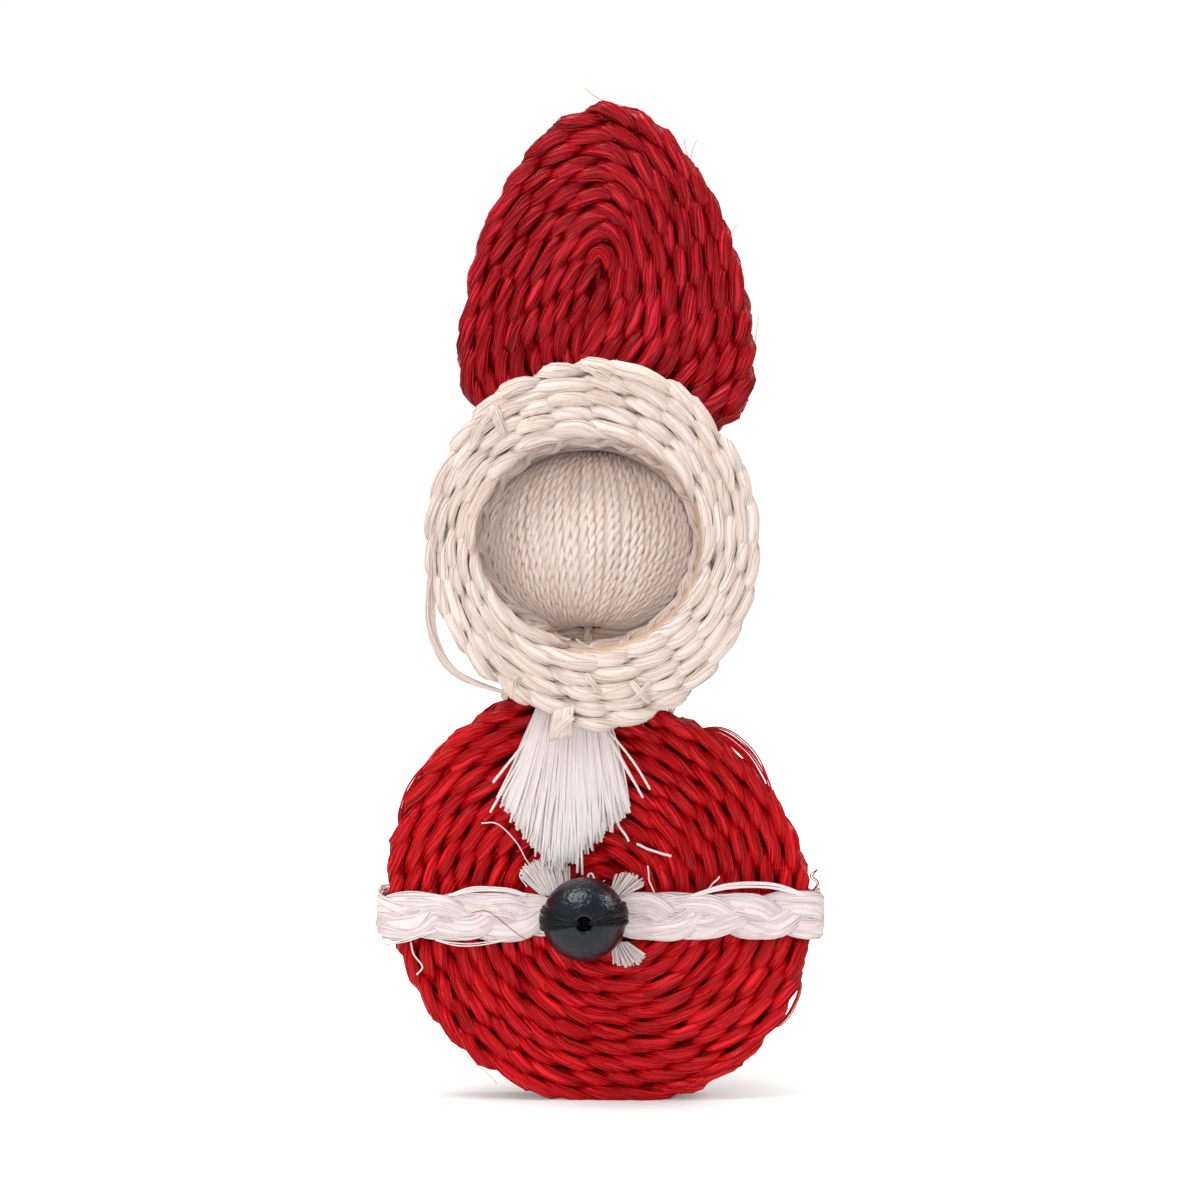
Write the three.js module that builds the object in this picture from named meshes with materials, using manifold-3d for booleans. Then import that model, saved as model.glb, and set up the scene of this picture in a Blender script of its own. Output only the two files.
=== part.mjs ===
// A small winter figure made of plaited plant fibre. Two red pads, the hat and the body, and the
// pale ring between them are each one plait wound on edge into a flat coil. A ball wound with thread
// is the face. A bristle beard, a plaited belt and a bead button on a fibre tie complete it.
// Millimetres, +Z up, the front faces -Y. The figure stands on the flattened foot of its body coil.
import * as THREE from 'three';
import { mergeVertices } from 'three/addons/utils/BufferGeometryUtils.js';
import Module from 'manifold-3d';

const wasm = await Module();
wasm.setup();

// Shared by all coils
const seatGap = 0.3; // left between two pieces that touch
const plaitDepth = 9; // the plait stands on edge, so its width is the depth of a pad
const plaitBevel = 0.7; // how far the plait's rounded edges draw in
const stepsPerTurn = 24;

// Body coil, a disc a little longer along one diagonal
const bodyLongRadius = 31.2;
const bodyShortRadius = 29.4;
const bodyLean = 51; // degrees from upright to the long diagonal, towards the left
const bodyEyeRadius = 1.9;
const bodyTurns = 12;
const bodyFill = 0.8; // share of a turn's pitch that the plait takes up
const bodyEndAngle = 350; // clockwise from the top, as every angle on a coil
const bodySettle = 0.8; // how far the plait gives way where the body stands
const bodySettleReach = 9; // to either side of the lowest point
const footCut = 0.5; // depth of the flat that the figure stands on

// Hat coil, pointed above and blunt below, wound round a long narrow eye
const hatHalfWidth = 21.4;
const hatRise = 35.6; // from the widest level to the tip
const hatDrop = 13.4; // from the widest level to the lower edge
const hatTipFullness = 1.8;
const hatBaseFullness = 2.85;
const hatShiftX = 0.4; // hat middle, right of the body's
const hatEyeHalfWidth = 0.35;
const hatEyeHalfHeight = 6.9;
const hatEyeShiftX = -2.2;
const hatEyeRise = 5.5; // middle of the eye above the widest level
const hatTurns = 8.35;
const hatFill = 0.7;
const hatEndAngle = 135;
const hatSeat = 2; // width of the ball's top that the hat comes down on

// Head ring, an oval coil that opens like a cup towards the front
const ringHalfWidth = 23.05;
const ringHalfHeight = 25.25;
const ringOverBody = 3.2; // how far the middle of the ring's outer turn hangs over the body's top
const ringShiftX = -1.95;
const ringTurns = 5;
const ringFill = 0.67;
const ringEndAngle = 189;
const ringFlare = 2.6; // how much further out the front edge of the plait lies than the back edge
const ringTip = 2.4; // degrees by which the ring's lower edge stands forward

// Face ball: a bored core under a skin of thread laid from pole to pole
const faceRadius = 16;
const facePoleRadius = 14.6;
const faceShiftX = -0.25; // from the middle of the ring
const faceShiftZ = -0.7;
const faceBehind = 3.2; // the ball's middle behind the pads' middle plane
const faceNod = 15; // degrees by which the lower pole turns to the front
const faceMouthRadius = 2.6;
const dimpleDepth = 1.9;
const dimpleWidth = 3.6;
const threadCount = 80;
const threadsPerColumn = 2; // threads to each column of the core's surface
const threadRidge = 0.32;
const faceRows = 9;
const windingThickness = 1.2;
const coreBoreRadius = 1.9;
const openingDrop = 0.9; // ring opening's middle below the ball's
const openingSide = 2.1; // room beside the ball, in the plane of the ring's back
const openingEnds = 2.55; // room above and below the ball

// Cords and sewing
const holdingCordRadius = 0.7;
const holdingCordTail = 10; // length that lies on the back of a pad
const lashingRadius = 0.55;
const lashingTail = 8;
const cordEase = 0.5; // unit of the small steps by which a cord rounds an edge
const lashingSpread = 12; // from the face's middle to each lashing

// Beard of straight bristles, bound in a flat bunch behind the ring
const beardWidth = 10.4;
const beardShiftX = -2.15; // from the middle of the ring
const beardUnderRing = 1.5; // how far the bristles' roots lie above the middle of the ring's lowest turn
const beardBinding = 1.8; // height of the bound root
const beardLength = 22.3;
const beardSpread = 21; // degrees, the outermost bristles
const beardFanEase = 0.45; // 1 would spread the bristles evenly; less keeps the middle ones upright
const beardSideLoss = 0.39; // share by which the outermost bristles are shorter
const beardUnevenness = 0.06;
const beardColumns = 38;
const beardRows = 8;

// Belt plait, wrapped round the body with both ends under the bead
const beltDrop = 2; // below the body's middle
const beltWidth = 7.4;
const beltWaist = 6.5; // width between two crossings of the plait
const beltThickness = 2.1;
const beltCrossing = 8; // length of plait from one crossing to the next
const beltCorner = 2.3;
const beltCrown = 0.7; // share of the belt's width over which it is thickest
const beltEndsGap = 2.6;

// Frayed ends of the belt's strands, above (1) or below (-1) it, at places x from the bead
const tufts = {
  belt_tuft_upper_left: { side: 1, x: -4.6, width: 4.2, length: 3.2, lean: -24 },
  belt_tuft_upper_right: { side: 1, x: 5.2, width: 2.6, length: 1.7, lean: 30 },
  belt_tuft_lower_right: { side: -1, x: 5.6, width: 2.8, length: 2.6, lean: 22 },
};
const tuftBinding = 0.5;
const tuftSpread = 16; // degrees
const tuftUnevenness = 0.3;
const tuftColumns = 8;
const tuftRows = 2;

// Bead button and its tie
const beadRadius = 6;
const beadBoreRadius = 1.15;
const beadShiftX = -2.8;
const beadRise = 0.8; // above the middle of the belt
const tieThickness = 0.55;
const tieWidth = 1.8;
const tieStemRadius = 0.75;
const tieWrap = 132; // degrees from the front to each end of the tie
const beadRows = 12;
const tieSteps = 16;

// Short stitches on the ring, each from one point [x, z] to another, measured from the ring's middle
const stitches = {
  head_stitch_top: [[[-0.9, 24.4], [2.6, 23.9]]],
  head_stitch_upper_left: [[[-13.4, 19.2], [-12.6, 15.6]]],
  head_stitch_bottom_centre: [[[-0.3, -18.8], [1.2, -21]]],
  head_stitch_bottom_right: [[[6, -20], [8.2, -22.4]], [[8.2, -20], [6, -22.4]]],
};
const stitchThickness = 0.7;
const stitchWidth = 1.3;
const stitchRise = 0.3; // how far a stitch's middle stands up
const wrapWidth = 3.2;
const wrapReach = 3.4;
const wrapShiftX = -4; // from the ring's middle, over the end of its plait

const red = new THREE.MeshStandardMaterial({ color: 0xb01222, roughness: 0.75, metalness: 0 });
const cream = new THREE.MeshStandardMaterial({ color: 0xf0e4d0, roughness: 0.8, metalness: 0 });
const ecru = new THREE.MeshStandardMaterial({ color: 0xd8c3ae, roughness: 0.85, metalness: 0 });
const white = new THREE.MeshStandardMaterial({ color: 0xf2ebe8, roughness: 0.8, metalness: 0 });
const wood = new THREE.MeshStandardMaterial({ color: 0x9c7a52, roughness: 0.7, metalness: 0 });
const blackPaint = new THREE.MeshStandardMaterial({ color: 0x1c242e, roughness: 0.25, metalness: 0 });
const blackFibre = new THREE.MeshStandardMaterial({ color: 0x101216, roughness: 0.7, metalness: 0 });

const radians = THREE.MathUtils.degToRad;
const figure = new THREE.Group();

function addMesh(name, geometry, material, parent = figure) {
  const mesh = new THREE.Mesh(geometry, material);
  mesh.name = name;
  parent.add(mesh);
  return mesh;
}

function geometryOf(positions, indices) {
  const geometry = new THREE.BufferGeometry();
  geometry.setAttribute('position', new THREE.Float32BufferAttribute(positions, 3));
  geometry.setIndex(indices);
  geometry.computeVertexNormals();
  return geometry;
}

function solidOf(geometry) {
  const bare = geometry.clone();
  bare.deleteAttribute('normal');
  bare.deleteAttribute('uv');
  const merged = mergeVertices(bare, 1e-4);
  return new wasm.Manifold(
    new wasm.Mesh({
      numProp: 3,
      vertProperties: new Float32Array(merged.attributes.position.array),
      triVerts: new Uint32Array(merged.index.array),
    }),
  );
}

function geometryOfSolid(solid) {
  const mesh = solid.getMesh();
  return geometryOf(Array.from(mesh.vertProperties), Array.from(mesh.triVerts));
}

// Height of the body's highest point above its middle, and how far right its lowest point lies
const bodyTop = Math.hypot(
  bodyLongRadius * Math.cos(radians(bodyLean)),
  bodyShortRadius * Math.sin(radians(bodyLean)),
);
const bodyLowestX =
  ((bodyLongRadius ** 2 - bodyShortRadius ** 2) * Math.sin(2 * radians(bodyLean))) / (2 * bodyTop);

// Outlines are functions of an angle, clockwise from the top, and give a point [x, z].
const bodyOutline = (angle) => {
  const along = bodyLongRadius * Math.cos(angle + radians(bodyLean));
  const across = bodyShortRadius * Math.sin(angle + radians(bodyLean));
  const lean = radians(-bodyLean);
  const x = along * Math.sin(lean) + across * Math.cos(lean);
  const z = along * Math.cos(lean) - across * Math.sin(lean);
  const settled = z < 0 ? bodySettle * Math.exp(-(((x - bodyLowestX) / bodySettleReach) ** 2)) : 0;
  return [x, z + settled];
};

const ovalOutline = (halfWidth, halfHeight, x = 0, z = 0) => (angle) => [
  x + halfWidth * Math.sin(angle),
  z + halfHeight * Math.cos(angle),
];

const hatOutline = (angle) => {
  const up = Math.cos(angle) >= 0;
  const power = 2 / (up ? hatTipFullness : hatBaseFullness);
  const height = up ? hatRise : hatDrop;
  const bulge = (value) => Math.sign(value) * Math.abs(value) ** power;
  return [hatHalfWidth * bulge(Math.sin(angle)), height * bulge(Math.cos(angle))];
};

// One plait wound on edge. On every ray from the eye to the outline its turns lie one pitch apart,
// each a six-sided section: two flat walls and a ridge along the front and the back edge.
function coilSections({ eye, outline, turns, endAngle, fill, flare }) {
  const depth = plaitDepth;
  const steps = Math.round(turns * stepsPerTurn);
  const last = radians(endAngle);
  const sections = [];
  for (let i = 0; i <= steps; i += 1) {
    const angle = last - (2 * Math.PI * (steps - i)) / stepsPerTurn;
    const [eyeX, eyeZ] = eye(angle);
    const [outX, outZ] = outline(angle);
    const pitchX = (outX - eyeX) / turns;
    const pitchZ = (outZ - eyeZ) / turns;
    const turn = i / stepsPerTurn;
    const wall = depth / 2 - plaitBevel;
    const section = [
      [-1, wall],
      [-1, -wall],
      [0, -depth / 2],
      [1, -wall],
      [1, wall],
      [0, depth / 2],
    ].map(([side, y]) => {
      const out = turn + (side * fill) / 2;
      const open = (-flare * y) / depth / Math.hypot(pitchX, pitchZ);
      return [eyeX + pitchX * (out + open), y, eyeZ + pitchZ * (out + open)];
    });
    sections.push(section);
  }
  return sections;
}

function tubeOfSections(sections) {
  const sides = sections[0].length;
  const indices = [];
  for (let i = 0; i + 1 < sections.length; i += 1) {
    for (let j = 0; j < sides; j += 1) {
      const a = i * sides + j;
      const b = i * sides + ((j + 1) % sides);
      indices.push(a, a + sides, b, b, a + sides, b + sides);
    }
  }
  const end = (sections.length - 1) * sides;
  for (let j = 1; j + 1 < sides; j += 1) {
    indices.push(0, j, j + 1, end, end + j + 1, end + j);
  }
  return geometryOf(sections.flat(2), indices);
}

function distanceToSegment([px, pz], [ax, az], [bx, bz]) {
  const lengthSquared = (bx - ax) ** 2 + (bz - az) ** 2;
  const along = ((px - ax) * (bx - ax) + (pz - az) * (bz - az)) / lengthSquared;
  const held = Math.min(1, Math.max(0, along));
  return Math.hypot(px - ax - held * (bx - ax), pz - az - held * (bz - az));
}

// Least distance from a point on the outer wall to the inner wall of any other turn
function leastGap(sections) {
  const wallPoint = (section, corner) => [section[corner][0], section[corner][2]];
  let least = Infinity;
  for (let i = 0; i < sections.length; i += 1) {
    for (let j = 0; j + 1 < sections.length; j += 1) {
      if (Math.abs(i - j) < stepsPerTurn / 2) continue;
      for (const [outer, inner] of [[3, 1], [4, 0]]) {
        const here = wallPoint(sections[i], outer);
        const near = wallPoint(sections[j], inner);
        const next = wallPoint(sections[j + 1], inner);
        least = Math.min(least, distanceToSegment(here, near, next));
      }
    }
  }
  return least;
}

// How far a coil reaches along x (0) or z (2), up or down the axis, over a span of the other axis
function reachOf(sections, axis, sign, from, to) {
  const other = 2 - axis;
  const levels = [from, (from + to) / 2, to];
  let furthest = -Infinity;
  for (let i = 0; i + 1 < sections.length; i += 1) {
    for (const corner of [0, 3]) {
      const here = sections[i][corner];
      const next = sections[i + 1][corner];
      for (const level of levels) {
        const share = (level - here[other]) / (next[other] - here[other]);
        if (!(share >= 0 && share <= 1)) continue;
        furthest = Math.max(furthest, sign * (here[axis] + share * (next[axis] - here[axis])));
      }
    }
  }
  return sign * furthest;
}

function cord(points, radius, sides = 7, steps = 18) {
  const ring = Array.from({ length: sides }, (unused, i) => {
    const angle = (2 * Math.PI * i) / sides;
    return new THREE.Vector2(radius * Math.cos(angle), radius * Math.sin(angle));
  });
  const path = new THREE.CatmullRomCurve3(points.map((p) => new THREE.Vector3(...p)), false, 'centripetal');
  return new THREE.ExtrudeGeometry(new THREE.Shape(ring), { steps, extrudePath: path, bevelEnabled: false });
}

const bodySections = coilSections({
  eye: ovalOutline(bodyEyeRadius, bodyEyeRadius),
  outline: bodyOutline,
  turns: bodyTurns,
  endAngle: bodyEndAngle,
  fill: bodyFill,
  flare: 0,
});
const hatSections = coilSections({
  eye: ovalOutline(hatEyeHalfWidth, hatEyeHalfHeight, hatEyeShiftX, hatEyeRise),
  outline: hatOutline,
  turns: hatTurns,
  endAngle: hatEndAngle,
  fill: hatFill,
  flare: 0,
});

// Heights and depths that several pieces share
const padFace = plaitDepth / 2;
const ringCentreZ = bodyTop - ringOverBody + ringHalfHeight;
const ringBackY = -(padFace + seatGap) - ringHalfHeight * Math.sin(radians(ringTip));
const faceX = ringShiftX + faceShiftX;
const faceZ = ringCentreZ + faceShiftZ;
const faceTop = Math.hypot(
  facePoleRadius * Math.cos(radians(faceNod)),
  faceRadius * Math.sin(radians(faceNod)),
);
const overFace = [faceX - hatShiftX - hatSeat / 2, faceX - hatShiftX + hatSeat / 2];
const hatCentreZ = faceZ + faceTop + seatGap - reachOf(hatSections, 2, -1, ...overFace);
const beltZ = -beltDrop;
const beltFrontY = -(padFace + seatGap + beltThickness);

// Y of the ring's back at a given height
const ringBackAt = (z) => ringBackY - (z - ringCentreZ) * Math.tan(radians(-ringTip));

function addCoil(name, sections, material, parent) {
  console.log(`${name}: least gap between turns ${leastGap(sections).toFixed(2)} mm`);
  return addMesh(name, tubeOfSections(sections), material, parent);
}

function buildBody() {
  const coil = addCoil('body_coil', bodySections, red);
  const disc = coil.geometry;
  disc.computeBoundingBox();
  const low = disc.boundingBox.min.z;
  const reach = bodyLongRadius * 2;
  const block = new THREE.BoxGeometry(reach, reach, reach);
  block.translate(0, 0, low + footCut - reach / 2);
  coil.geometry = geometryOfSolid(solidOf(disc).subtract(solidOf(block)));
}

function buildHat() {
  addCoil('hat_coil', hatSections, red).position.set(hatShiftX, 0, hatCentreZ);
}

// The ring's group has its back in the plane y = 0 and tips forward about its middle.
const head = new THREE.Group();
head.position.set(ringShiftX, ringBackY, ringCentreZ);
head.rotation.x = radians(-ringTip);
figure.add(head);
const ringMiddleY = -plaitDepth / 2;

// The opening clears the ball's section in the plane of the ring's back.
const sectionShare = Math.sqrt(1 - ((ringBackY - faceBehind) / faceRadius) ** 2);
const ringSections = coilSections({
  eye: ovalOutline(
    faceRadius * sectionShare + openingSide,
    facePoleRadius * sectionShare + openingEnds,
    faceShiftX,
    faceShiftZ - openingDrop,
  ),
  outline: ovalOutline(ringHalfWidth, ringHalfHeight),
  turns: ringTurns,
  endAngle: ringEndAngle,
  fill: ringFill,
  flare: ringFlare,
});

function buildRing() {
  addCoil('head_coil', ringSections, cream, head).position.y = ringMiddleY;
}

// Half profile [r, z] of the ball at a polar angle, drawn in by an inset, with a dimple at each pole
function faceProfile(polar, inset) {
  const r = (faceRadius - inset) * Math.sin(polar);
  const dip = dimpleDepth * Math.exp(-((r / dimpleWidth) ** 2));
  const z = (facePoleRadius - inset) * Math.cos(polar);
  return [r, z - Math.sign(z) * dip];
}

// The ball's skin and core share these polar angles, and their columns line up.
const mouthAngle = Math.asin(faceMouthRadius / faceRadius);
const facePolars = Array.from(
  { length: faceRows + 1 },
  (unused, i) => mouthAngle + ((Math.PI - 2 * mouthAngle) * i) / faceRows,
);
const faceColumns = threadCount / threadsPerColumn;

// Skin of thread: ridges run from pole to pole outside, over a smooth inner face with fewer columns.
function windingGeometry() {
  const columns = threadCount * 2;
  const innerColumns = faceColumns;
  const groupSize = columns / innerColumns;
  const ringOf = (polar, inset, count, ridge) =>
    Array.from({ length: count }, (unused, j) => {
      const [r, z] = faceProfile(polar, inset + (j % 2 ? ridge : 0));
      const turn = (2 * Math.PI * j) / count;
      return [r * Math.cos(turn), r * Math.sin(turn), z];
    });
  const outerRings = facePolars.map((polar) => ringOf(polar, 0, columns, threadRidge * Math.sin(polar)));
  const innerRings = facePolars.map((polar) => ringOf(polar, windingThickness, innerColumns, 0));
  const positions = [...outerRings, ...innerRings].flat(2);
  const outerAt = (row, j) => row * columns + (j % columns);
  const innerStart = outerRings.length * columns;
  const innerAt = (row, j) => innerStart + row * innerColumns + (j % innerColumns);
  const indices = [];
  for (let row = 0; row + 1 < outerRings.length; row += 1) {
    for (let j = 0; j < columns; j += 1) {
      indices.push(outerAt(row, j), outerAt(row + 1, j), outerAt(row, j + 1));
      indices.push(outerAt(row, j + 1), outerAt(row + 1, j), outerAt(row + 1, j + 1));
    }
  }
  for (let row = 0; row + 1 < innerRings.length; row += 1) {
    for (let j = 0; j < innerColumns; j += 1) {
      indices.push(innerAt(row, j), innerAt(row, j + 1), innerAt(row + 1, j));
      indices.push(innerAt(row, j + 1), innerAt(row + 1, j + 1), innerAt(row + 1, j));
    }
  }
  const mouths = [
    [0, 0, false],
    [outerRings.length - 1, innerRings.length - 1, true],
  ];
  for (const [outerRow, innerRow, flip] of mouths) {
    const push = (a, b, c) => (flip ? indices.push(a, c, b) : indices.push(a, b, c));
    for (let j = 0; j < innerColumns; j += 1) {
      const first = groupSize * j;
      for (let k = 0; k < groupSize; k += 1) {
        push(innerAt(innerRow, j), outerAt(outerRow, first + k), outerAt(outerRow, first + k + 1));
      }
      push(innerAt(innerRow, j), outerAt(outerRow, first + groupSize), innerAt(innerRow, j + 1));
    }
  }
  return geometryOf(positions, indices);
}

function coreGeometry() {
  const inset = windingThickness + seatGap;
  const boreAngle = Math.asin(coreBoreRadius / (faceRadius - inset));
  const profile = [boreAngle, ...facePolars, Math.PI - boreAngle]
    .map((polar) => new THREE.Vector2(...faceProfile(polar, inset)))
    .reverse();
  profile.push(profile[0].clone());
  return new THREE.LatheGeometry(profile, faceColumns);
}

function buildFace() {
  const ball = new THREE.Group();
  ball.position.set(faceX, faceBehind, faceZ);
  ball.rotation.x = radians(-faceNod);
  figure.add(ball);
  addMesh('face_winding', windingGeometry(), ecru, ball);
  addMesh('face_core', coreGeometry(), wood, ball).rotation.x = Math.PI / 2;
}

// The cord runs through the ball's bore, and its tails are sewn down the backs of hat and body.
function buildHoldingCord() {
  const backY = padFace + seatGap + holdingCordRadius;
  const hatBase = hatCentreZ - hatDrop;
  const poleY = facePoleRadius * Math.sin(radians(faceNod));
  const poleZ = facePoleRadius * Math.cos(radians(faceNod));
  const overBody = bodyTop + seatGap + holdingCordRadius;
  const route = [
    [faceX, backY, hatBase + holdingCordTail],
    [faceX, backY, hatBase + 2 * cordEase],
    [faceX, faceBehind + poleY, faceZ + poleZ - 2 * cordEase],
    [faceX, faceBehind, faceZ],
    [faceX, faceBehind - poleY, faceZ - poleZ + 2 * cordEase],
    [faceX, (faceBehind - poleY) / 2, (faceZ - poleZ + overBody) / 2],
    [faceX, backY, overBody - cordEase],
    [faceX, backY, bodyTop - holdingCordTail],
  ];
  addMesh('face_holding_cord', cord(route, holdingCordRadius, 7, 40), cream);
}

// A stitch from the ring's back over a pad's edge and along the pad's back
function lashing(name, x, pad, padX, padZ, away) {
  const edge = padZ + reachOf(pad, 2, away, x - padX - lashingRadius, x - padX + lashingRadius);
  const level = edge + away * (lashingRadius + 2 * seatGap);
  const backY = padFace + seatGap + lashingRadius;
  const route = [
    [x, ringBackAt(level) + seatGap, level + away * cordEase],
    [x, 0, level + away * cordEase],
    [x, padFace - lashingRadius, level],
    [x, backY, edge - away * 3 * cordEase],
    [x, backY, edge - away * lashingTail],
  ];
  addMesh(name, cord(route, lashingRadius, 6, 16), cream);
}

function buildLashings() {
  for (const [side, turn] of [['left', -1], ['right', 1]]) {
    const x = faceX + turn * lashingSpread;
    lashing(`hat_lashing_${side}`, x, hatSections, hatShiftX, hatCentreZ, -1);
    lashing(`body_lashing_${side}`, x, bodySections, 0, 0, 1);
  }
}

// A bunch of four-sided bristles that hang from a bound root. Their feet tile the root's underside,
// and each one leans further out than its neighbour, so none crosses another.
function bristleBunch({ width, depth, binding, columns, rows, bristleAt }) {
  const positions = [];
  const indices = [];
  const addPoint = (x, y, z) => positions.push(x, y, z) / 3 - 1;
  const footX = (i) => width * (i / columns - 0.5);
  const footY = (j) => depth * (j / rows - 0.5);
  const feet = [];
  for (let j = 0; j <= rows; j += 1) {
    feet.push(Array.from({ length: columns + 1 }, (unused, i) => addPoint(footX(i), footY(j), 0)));
  }
  for (let j = 0; j < rows; j += 1) {
    for (let i = 0; i < columns; i += 1) {
      const across = (2 * (i + 0.5)) / columns - 1;
      const back = (2 * (j + 0.5)) / rows - 1;
      const { length, lean, forward } = bristleAt(across, back, j * columns + i);
      const tip = addPoint(
        footX(i + 0.5) + length * Math.tan(lean),
        footY(j + 0.5) + length * Math.tan(forward),
        -length,
      );
      const corners = [feet[j][i], feet[j][i + 1], feet[j + 1][i + 1], feet[j + 1][i]];
      corners.forEach((corner, k) => indices.push(corner, tip, corners[(k + 1) % 4]));
    }
  }
  const rim = [
    ...feet[0].slice(0, -1),
    ...feet.slice(0, -1).map((row) => row[columns]),
    ...feet[rows].slice(1).reverse(),
    ...feet.slice(1).reverse().map((row) => row[0]),
  ];
  const topRim = rim.map((foot) => addPoint(positions[3 * foot], positions[3 * foot + 1], binding));
  const middle = addPoint(0, 0, binding);
  rim.forEach((foot, k) => {
    const next = (k + 1) % rim.length;
    indices.push(foot, rim[next], topRim[k], rim[next], topRim[next], topRim[k]);
    indices.push(topRim[k], topRim[next], middle);
  });
  return geometryOf(positions, indices);
}

// Steady but uneven lengths, the same at every build
const uneven = (index) => Math.sin(index * 12.9898) * Math.cos(index * 4.1414);

function buildBeard() {
  const rootZ = ringCentreZ - ringHalfHeight + beardUnderRing;
  const frontY = ringBackAt(rootZ) + seatGap;
  const backY = -(padFace + seatGap);
  const bunch = bristleBunch({
    width: beardWidth,
    depth: backY - frontY,
    binding: beardBinding,
    columns: beardColumns,
    rows: beardRows,
    bristleAt: (across, back, index) => ({
      length: beardLength * (1 - beardSideLoss * across ** 2 + beardUnevenness * uneven(index)),
      lean: radians(beardSpread) * across * (beardFanEase + (1 - beardFanEase) * Math.abs(across)),
      forward: radians(back - 1),
    }),
  });
  addMesh('beard_bristles', bunch, white).position.set(
    ringShiftX + beardShiftX,
    (frontY + backY) / 2,
    rootZ,
  );
}

// Plan of the belt: front left, left edge, back, right edge, front right, as a rounded rectangle
function beltStations() {
  const span = [beltZ - beltWidth / 2, beltZ + beltWidth / 2];
  const beside = seatGap + beltThickness / 2;
  const left = reachOf(bodySections, 0, -1, ...span) - beside;
  const right = reachOf(bodySections, 0, 1, ...span) + beside;
  const front = -(padFace + seatGap + beltThickness / 2);
  const back = -front;
  const stations = [];
  const straight = (from, to) => {
    const length = Math.hypot(to[0] - from[0], to[1] - from[1]);
    const count = Math.max(1, Math.round(length / (beltCrossing / 2)));
    for (let i = 0; i <= count; i += 1) {
      const share = i / count;
      stations.push([from[0] + (to[0] - from[0]) * share, from[1] + (to[1] - from[1]) * share]);
    }
  };
  const corner = (x, y, fromAngle) => {
    for (let i = 1; i < 4; i += 1) {
      const angle = radians(fromAngle - (90 * i) / 4);
      stations.push([x + beltCorner * Math.cos(angle), y + beltCorner * Math.sin(angle)]);
    }
  };
  straight([beadShiftX - beltEndsGap / 2, front], [left + beltCorner, front]);
  corner(left + beltCorner, front + beltCorner, 270);
  straight([left, front + beltCorner], [left, back - beltCorner]);
  corner(left + beltCorner, back - beltCorner, 180);
  straight([left + beltCorner, back], [right - beltCorner, back]);
  corner(right - beltCorner, back - beltCorner, 90);
  straight([right, back - beltCorner], [right, front + beltCorner]);
  corner(right - beltCorner, front + beltCorner, 0);
  straight([right - beltCorner, front], [beadShiftX + beltEndsGap / 2, front]);
  return stations;
}

function buildBelt() {
  const stations = beltStations();
  let travelled = 0;
  const sections = stations.map(([x, y], i) => {
    const [px, py] = stations[Math.max(0, i - 1)];
    const [nx, ny] = stations[Math.min(stations.length - 1, i + 1)];
    travelled += Math.hypot(x - px, y - py);
    const run = Math.hypot(nx - px, ny - py);
    const out = [-(ny - py) / run, (nx - px) / run];
    const swell = Math.cos((Math.PI * travelled) / beltCrossing) ** 2;
    const half = (beltWaist + (beltWidth - beltWaist) * swell) / 2;
    return [
      [0, half],
      [beltThickness / 2, half * beltCrown],
      [beltThickness / 2, -half * beltCrown],
      [0, -half],
      [-beltThickness / 2, -half * beltCrown],
      [-beltThickness / 2, half * beltCrown],
    ].map(([away, rise]) => [x + out[0] * away, y + out[1] * away, beltZ + rise]);
  });
  addMesh('belt_braid', tubeOfSections(sections), white);
}

// Each tuft stands beside the belt's edge, next to the bead.
function buildTufts() {
  const depth = beltThickness - seatGap;
  const middleY = -(padFace + seatGap + depth / 2);
  const edge = beltWidth / 2 + seatGap + tuftBinding;
  for (const [name, { side, x, width, length, lean }] of Object.entries(tufts)) {
    const bunch = bristleBunch({
      width,
      depth,
      binding: tuftBinding,
      columns: tuftColumns,
      rows: tuftRows,
      bristleAt: (across, back, index) => ({
        length: length * (1 + tuftUnevenness * uneven(index)),
        lean: radians(side * -lean + tuftSpread * across),
        forward: 0,
      }),
    });
    const tuft = addMesh(name, bunch, white);
    tuft.position.set(beadShiftX + x, middleY, beltZ + side * edge);
    if (side > 0) tuft.rotation.y = Math.PI;
  }
}

function buildBead() {
  const first = Math.asin(beadBoreRadius / beadRadius);
  const profile = Array.from({ length: beadRows + 1 }, (unused, i) => {
    const polar = first + ((Math.PI - 2 * first) * i) / beadRows;
    return new THREE.Vector2(beadRadius * Math.sin(polar), -beadRadius * Math.cos(polar));
  });
  profile.push(profile[0].clone());
  const beadY = beltFrontY - seatGap - beadRadius;
  const button = new THREE.Group();
  button.position.set(beadShiftX, beadY, beltZ + beadRise);
  figure.add(button);
  addMesh('button_bead', new THREE.LatheGeometry(profile, 28), blackPaint, button);

  // The tie lies over the bead's front from side to side, and its stem runs back through the bore.
  const round = beadRadius + seatGap + tieThickness / 2;
  const arc = Array.from({ length: tieSteps + 1 }, (unused, i) => {
    const angle = radians(tieWrap) * ((2 * i) / tieSteps - 1);
    return new THREE.Vector3(round * Math.sin(angle), -round * Math.cos(angle), 0);
  });
  const section = new THREE.Shape();
  section.absellipse(0, 0, tieWidth / 2, tieThickness / 2, 0, 2 * Math.PI);
  const overFront = new THREE.ExtrudeGeometry(section, {
    steps: 26,
    curveSegments: 4,
    bevelEnabled: false,
    extrudePath: new THREE.CatmullRomCurve3(arc),
  });
  const stemEnd = -(padFace + seatGap) - beadY;
  const stem = new THREE.CylinderGeometry(tieStemRadius, tieStemRadius, stemEnd + round, 10);
  stem.translate(0, (stemEnd - round) / 2, 0);
  addMesh('button_tie', geometryOfSolid(solidOf(overFront).add(solidOf(stem))), blackFibre, button);
}

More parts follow.
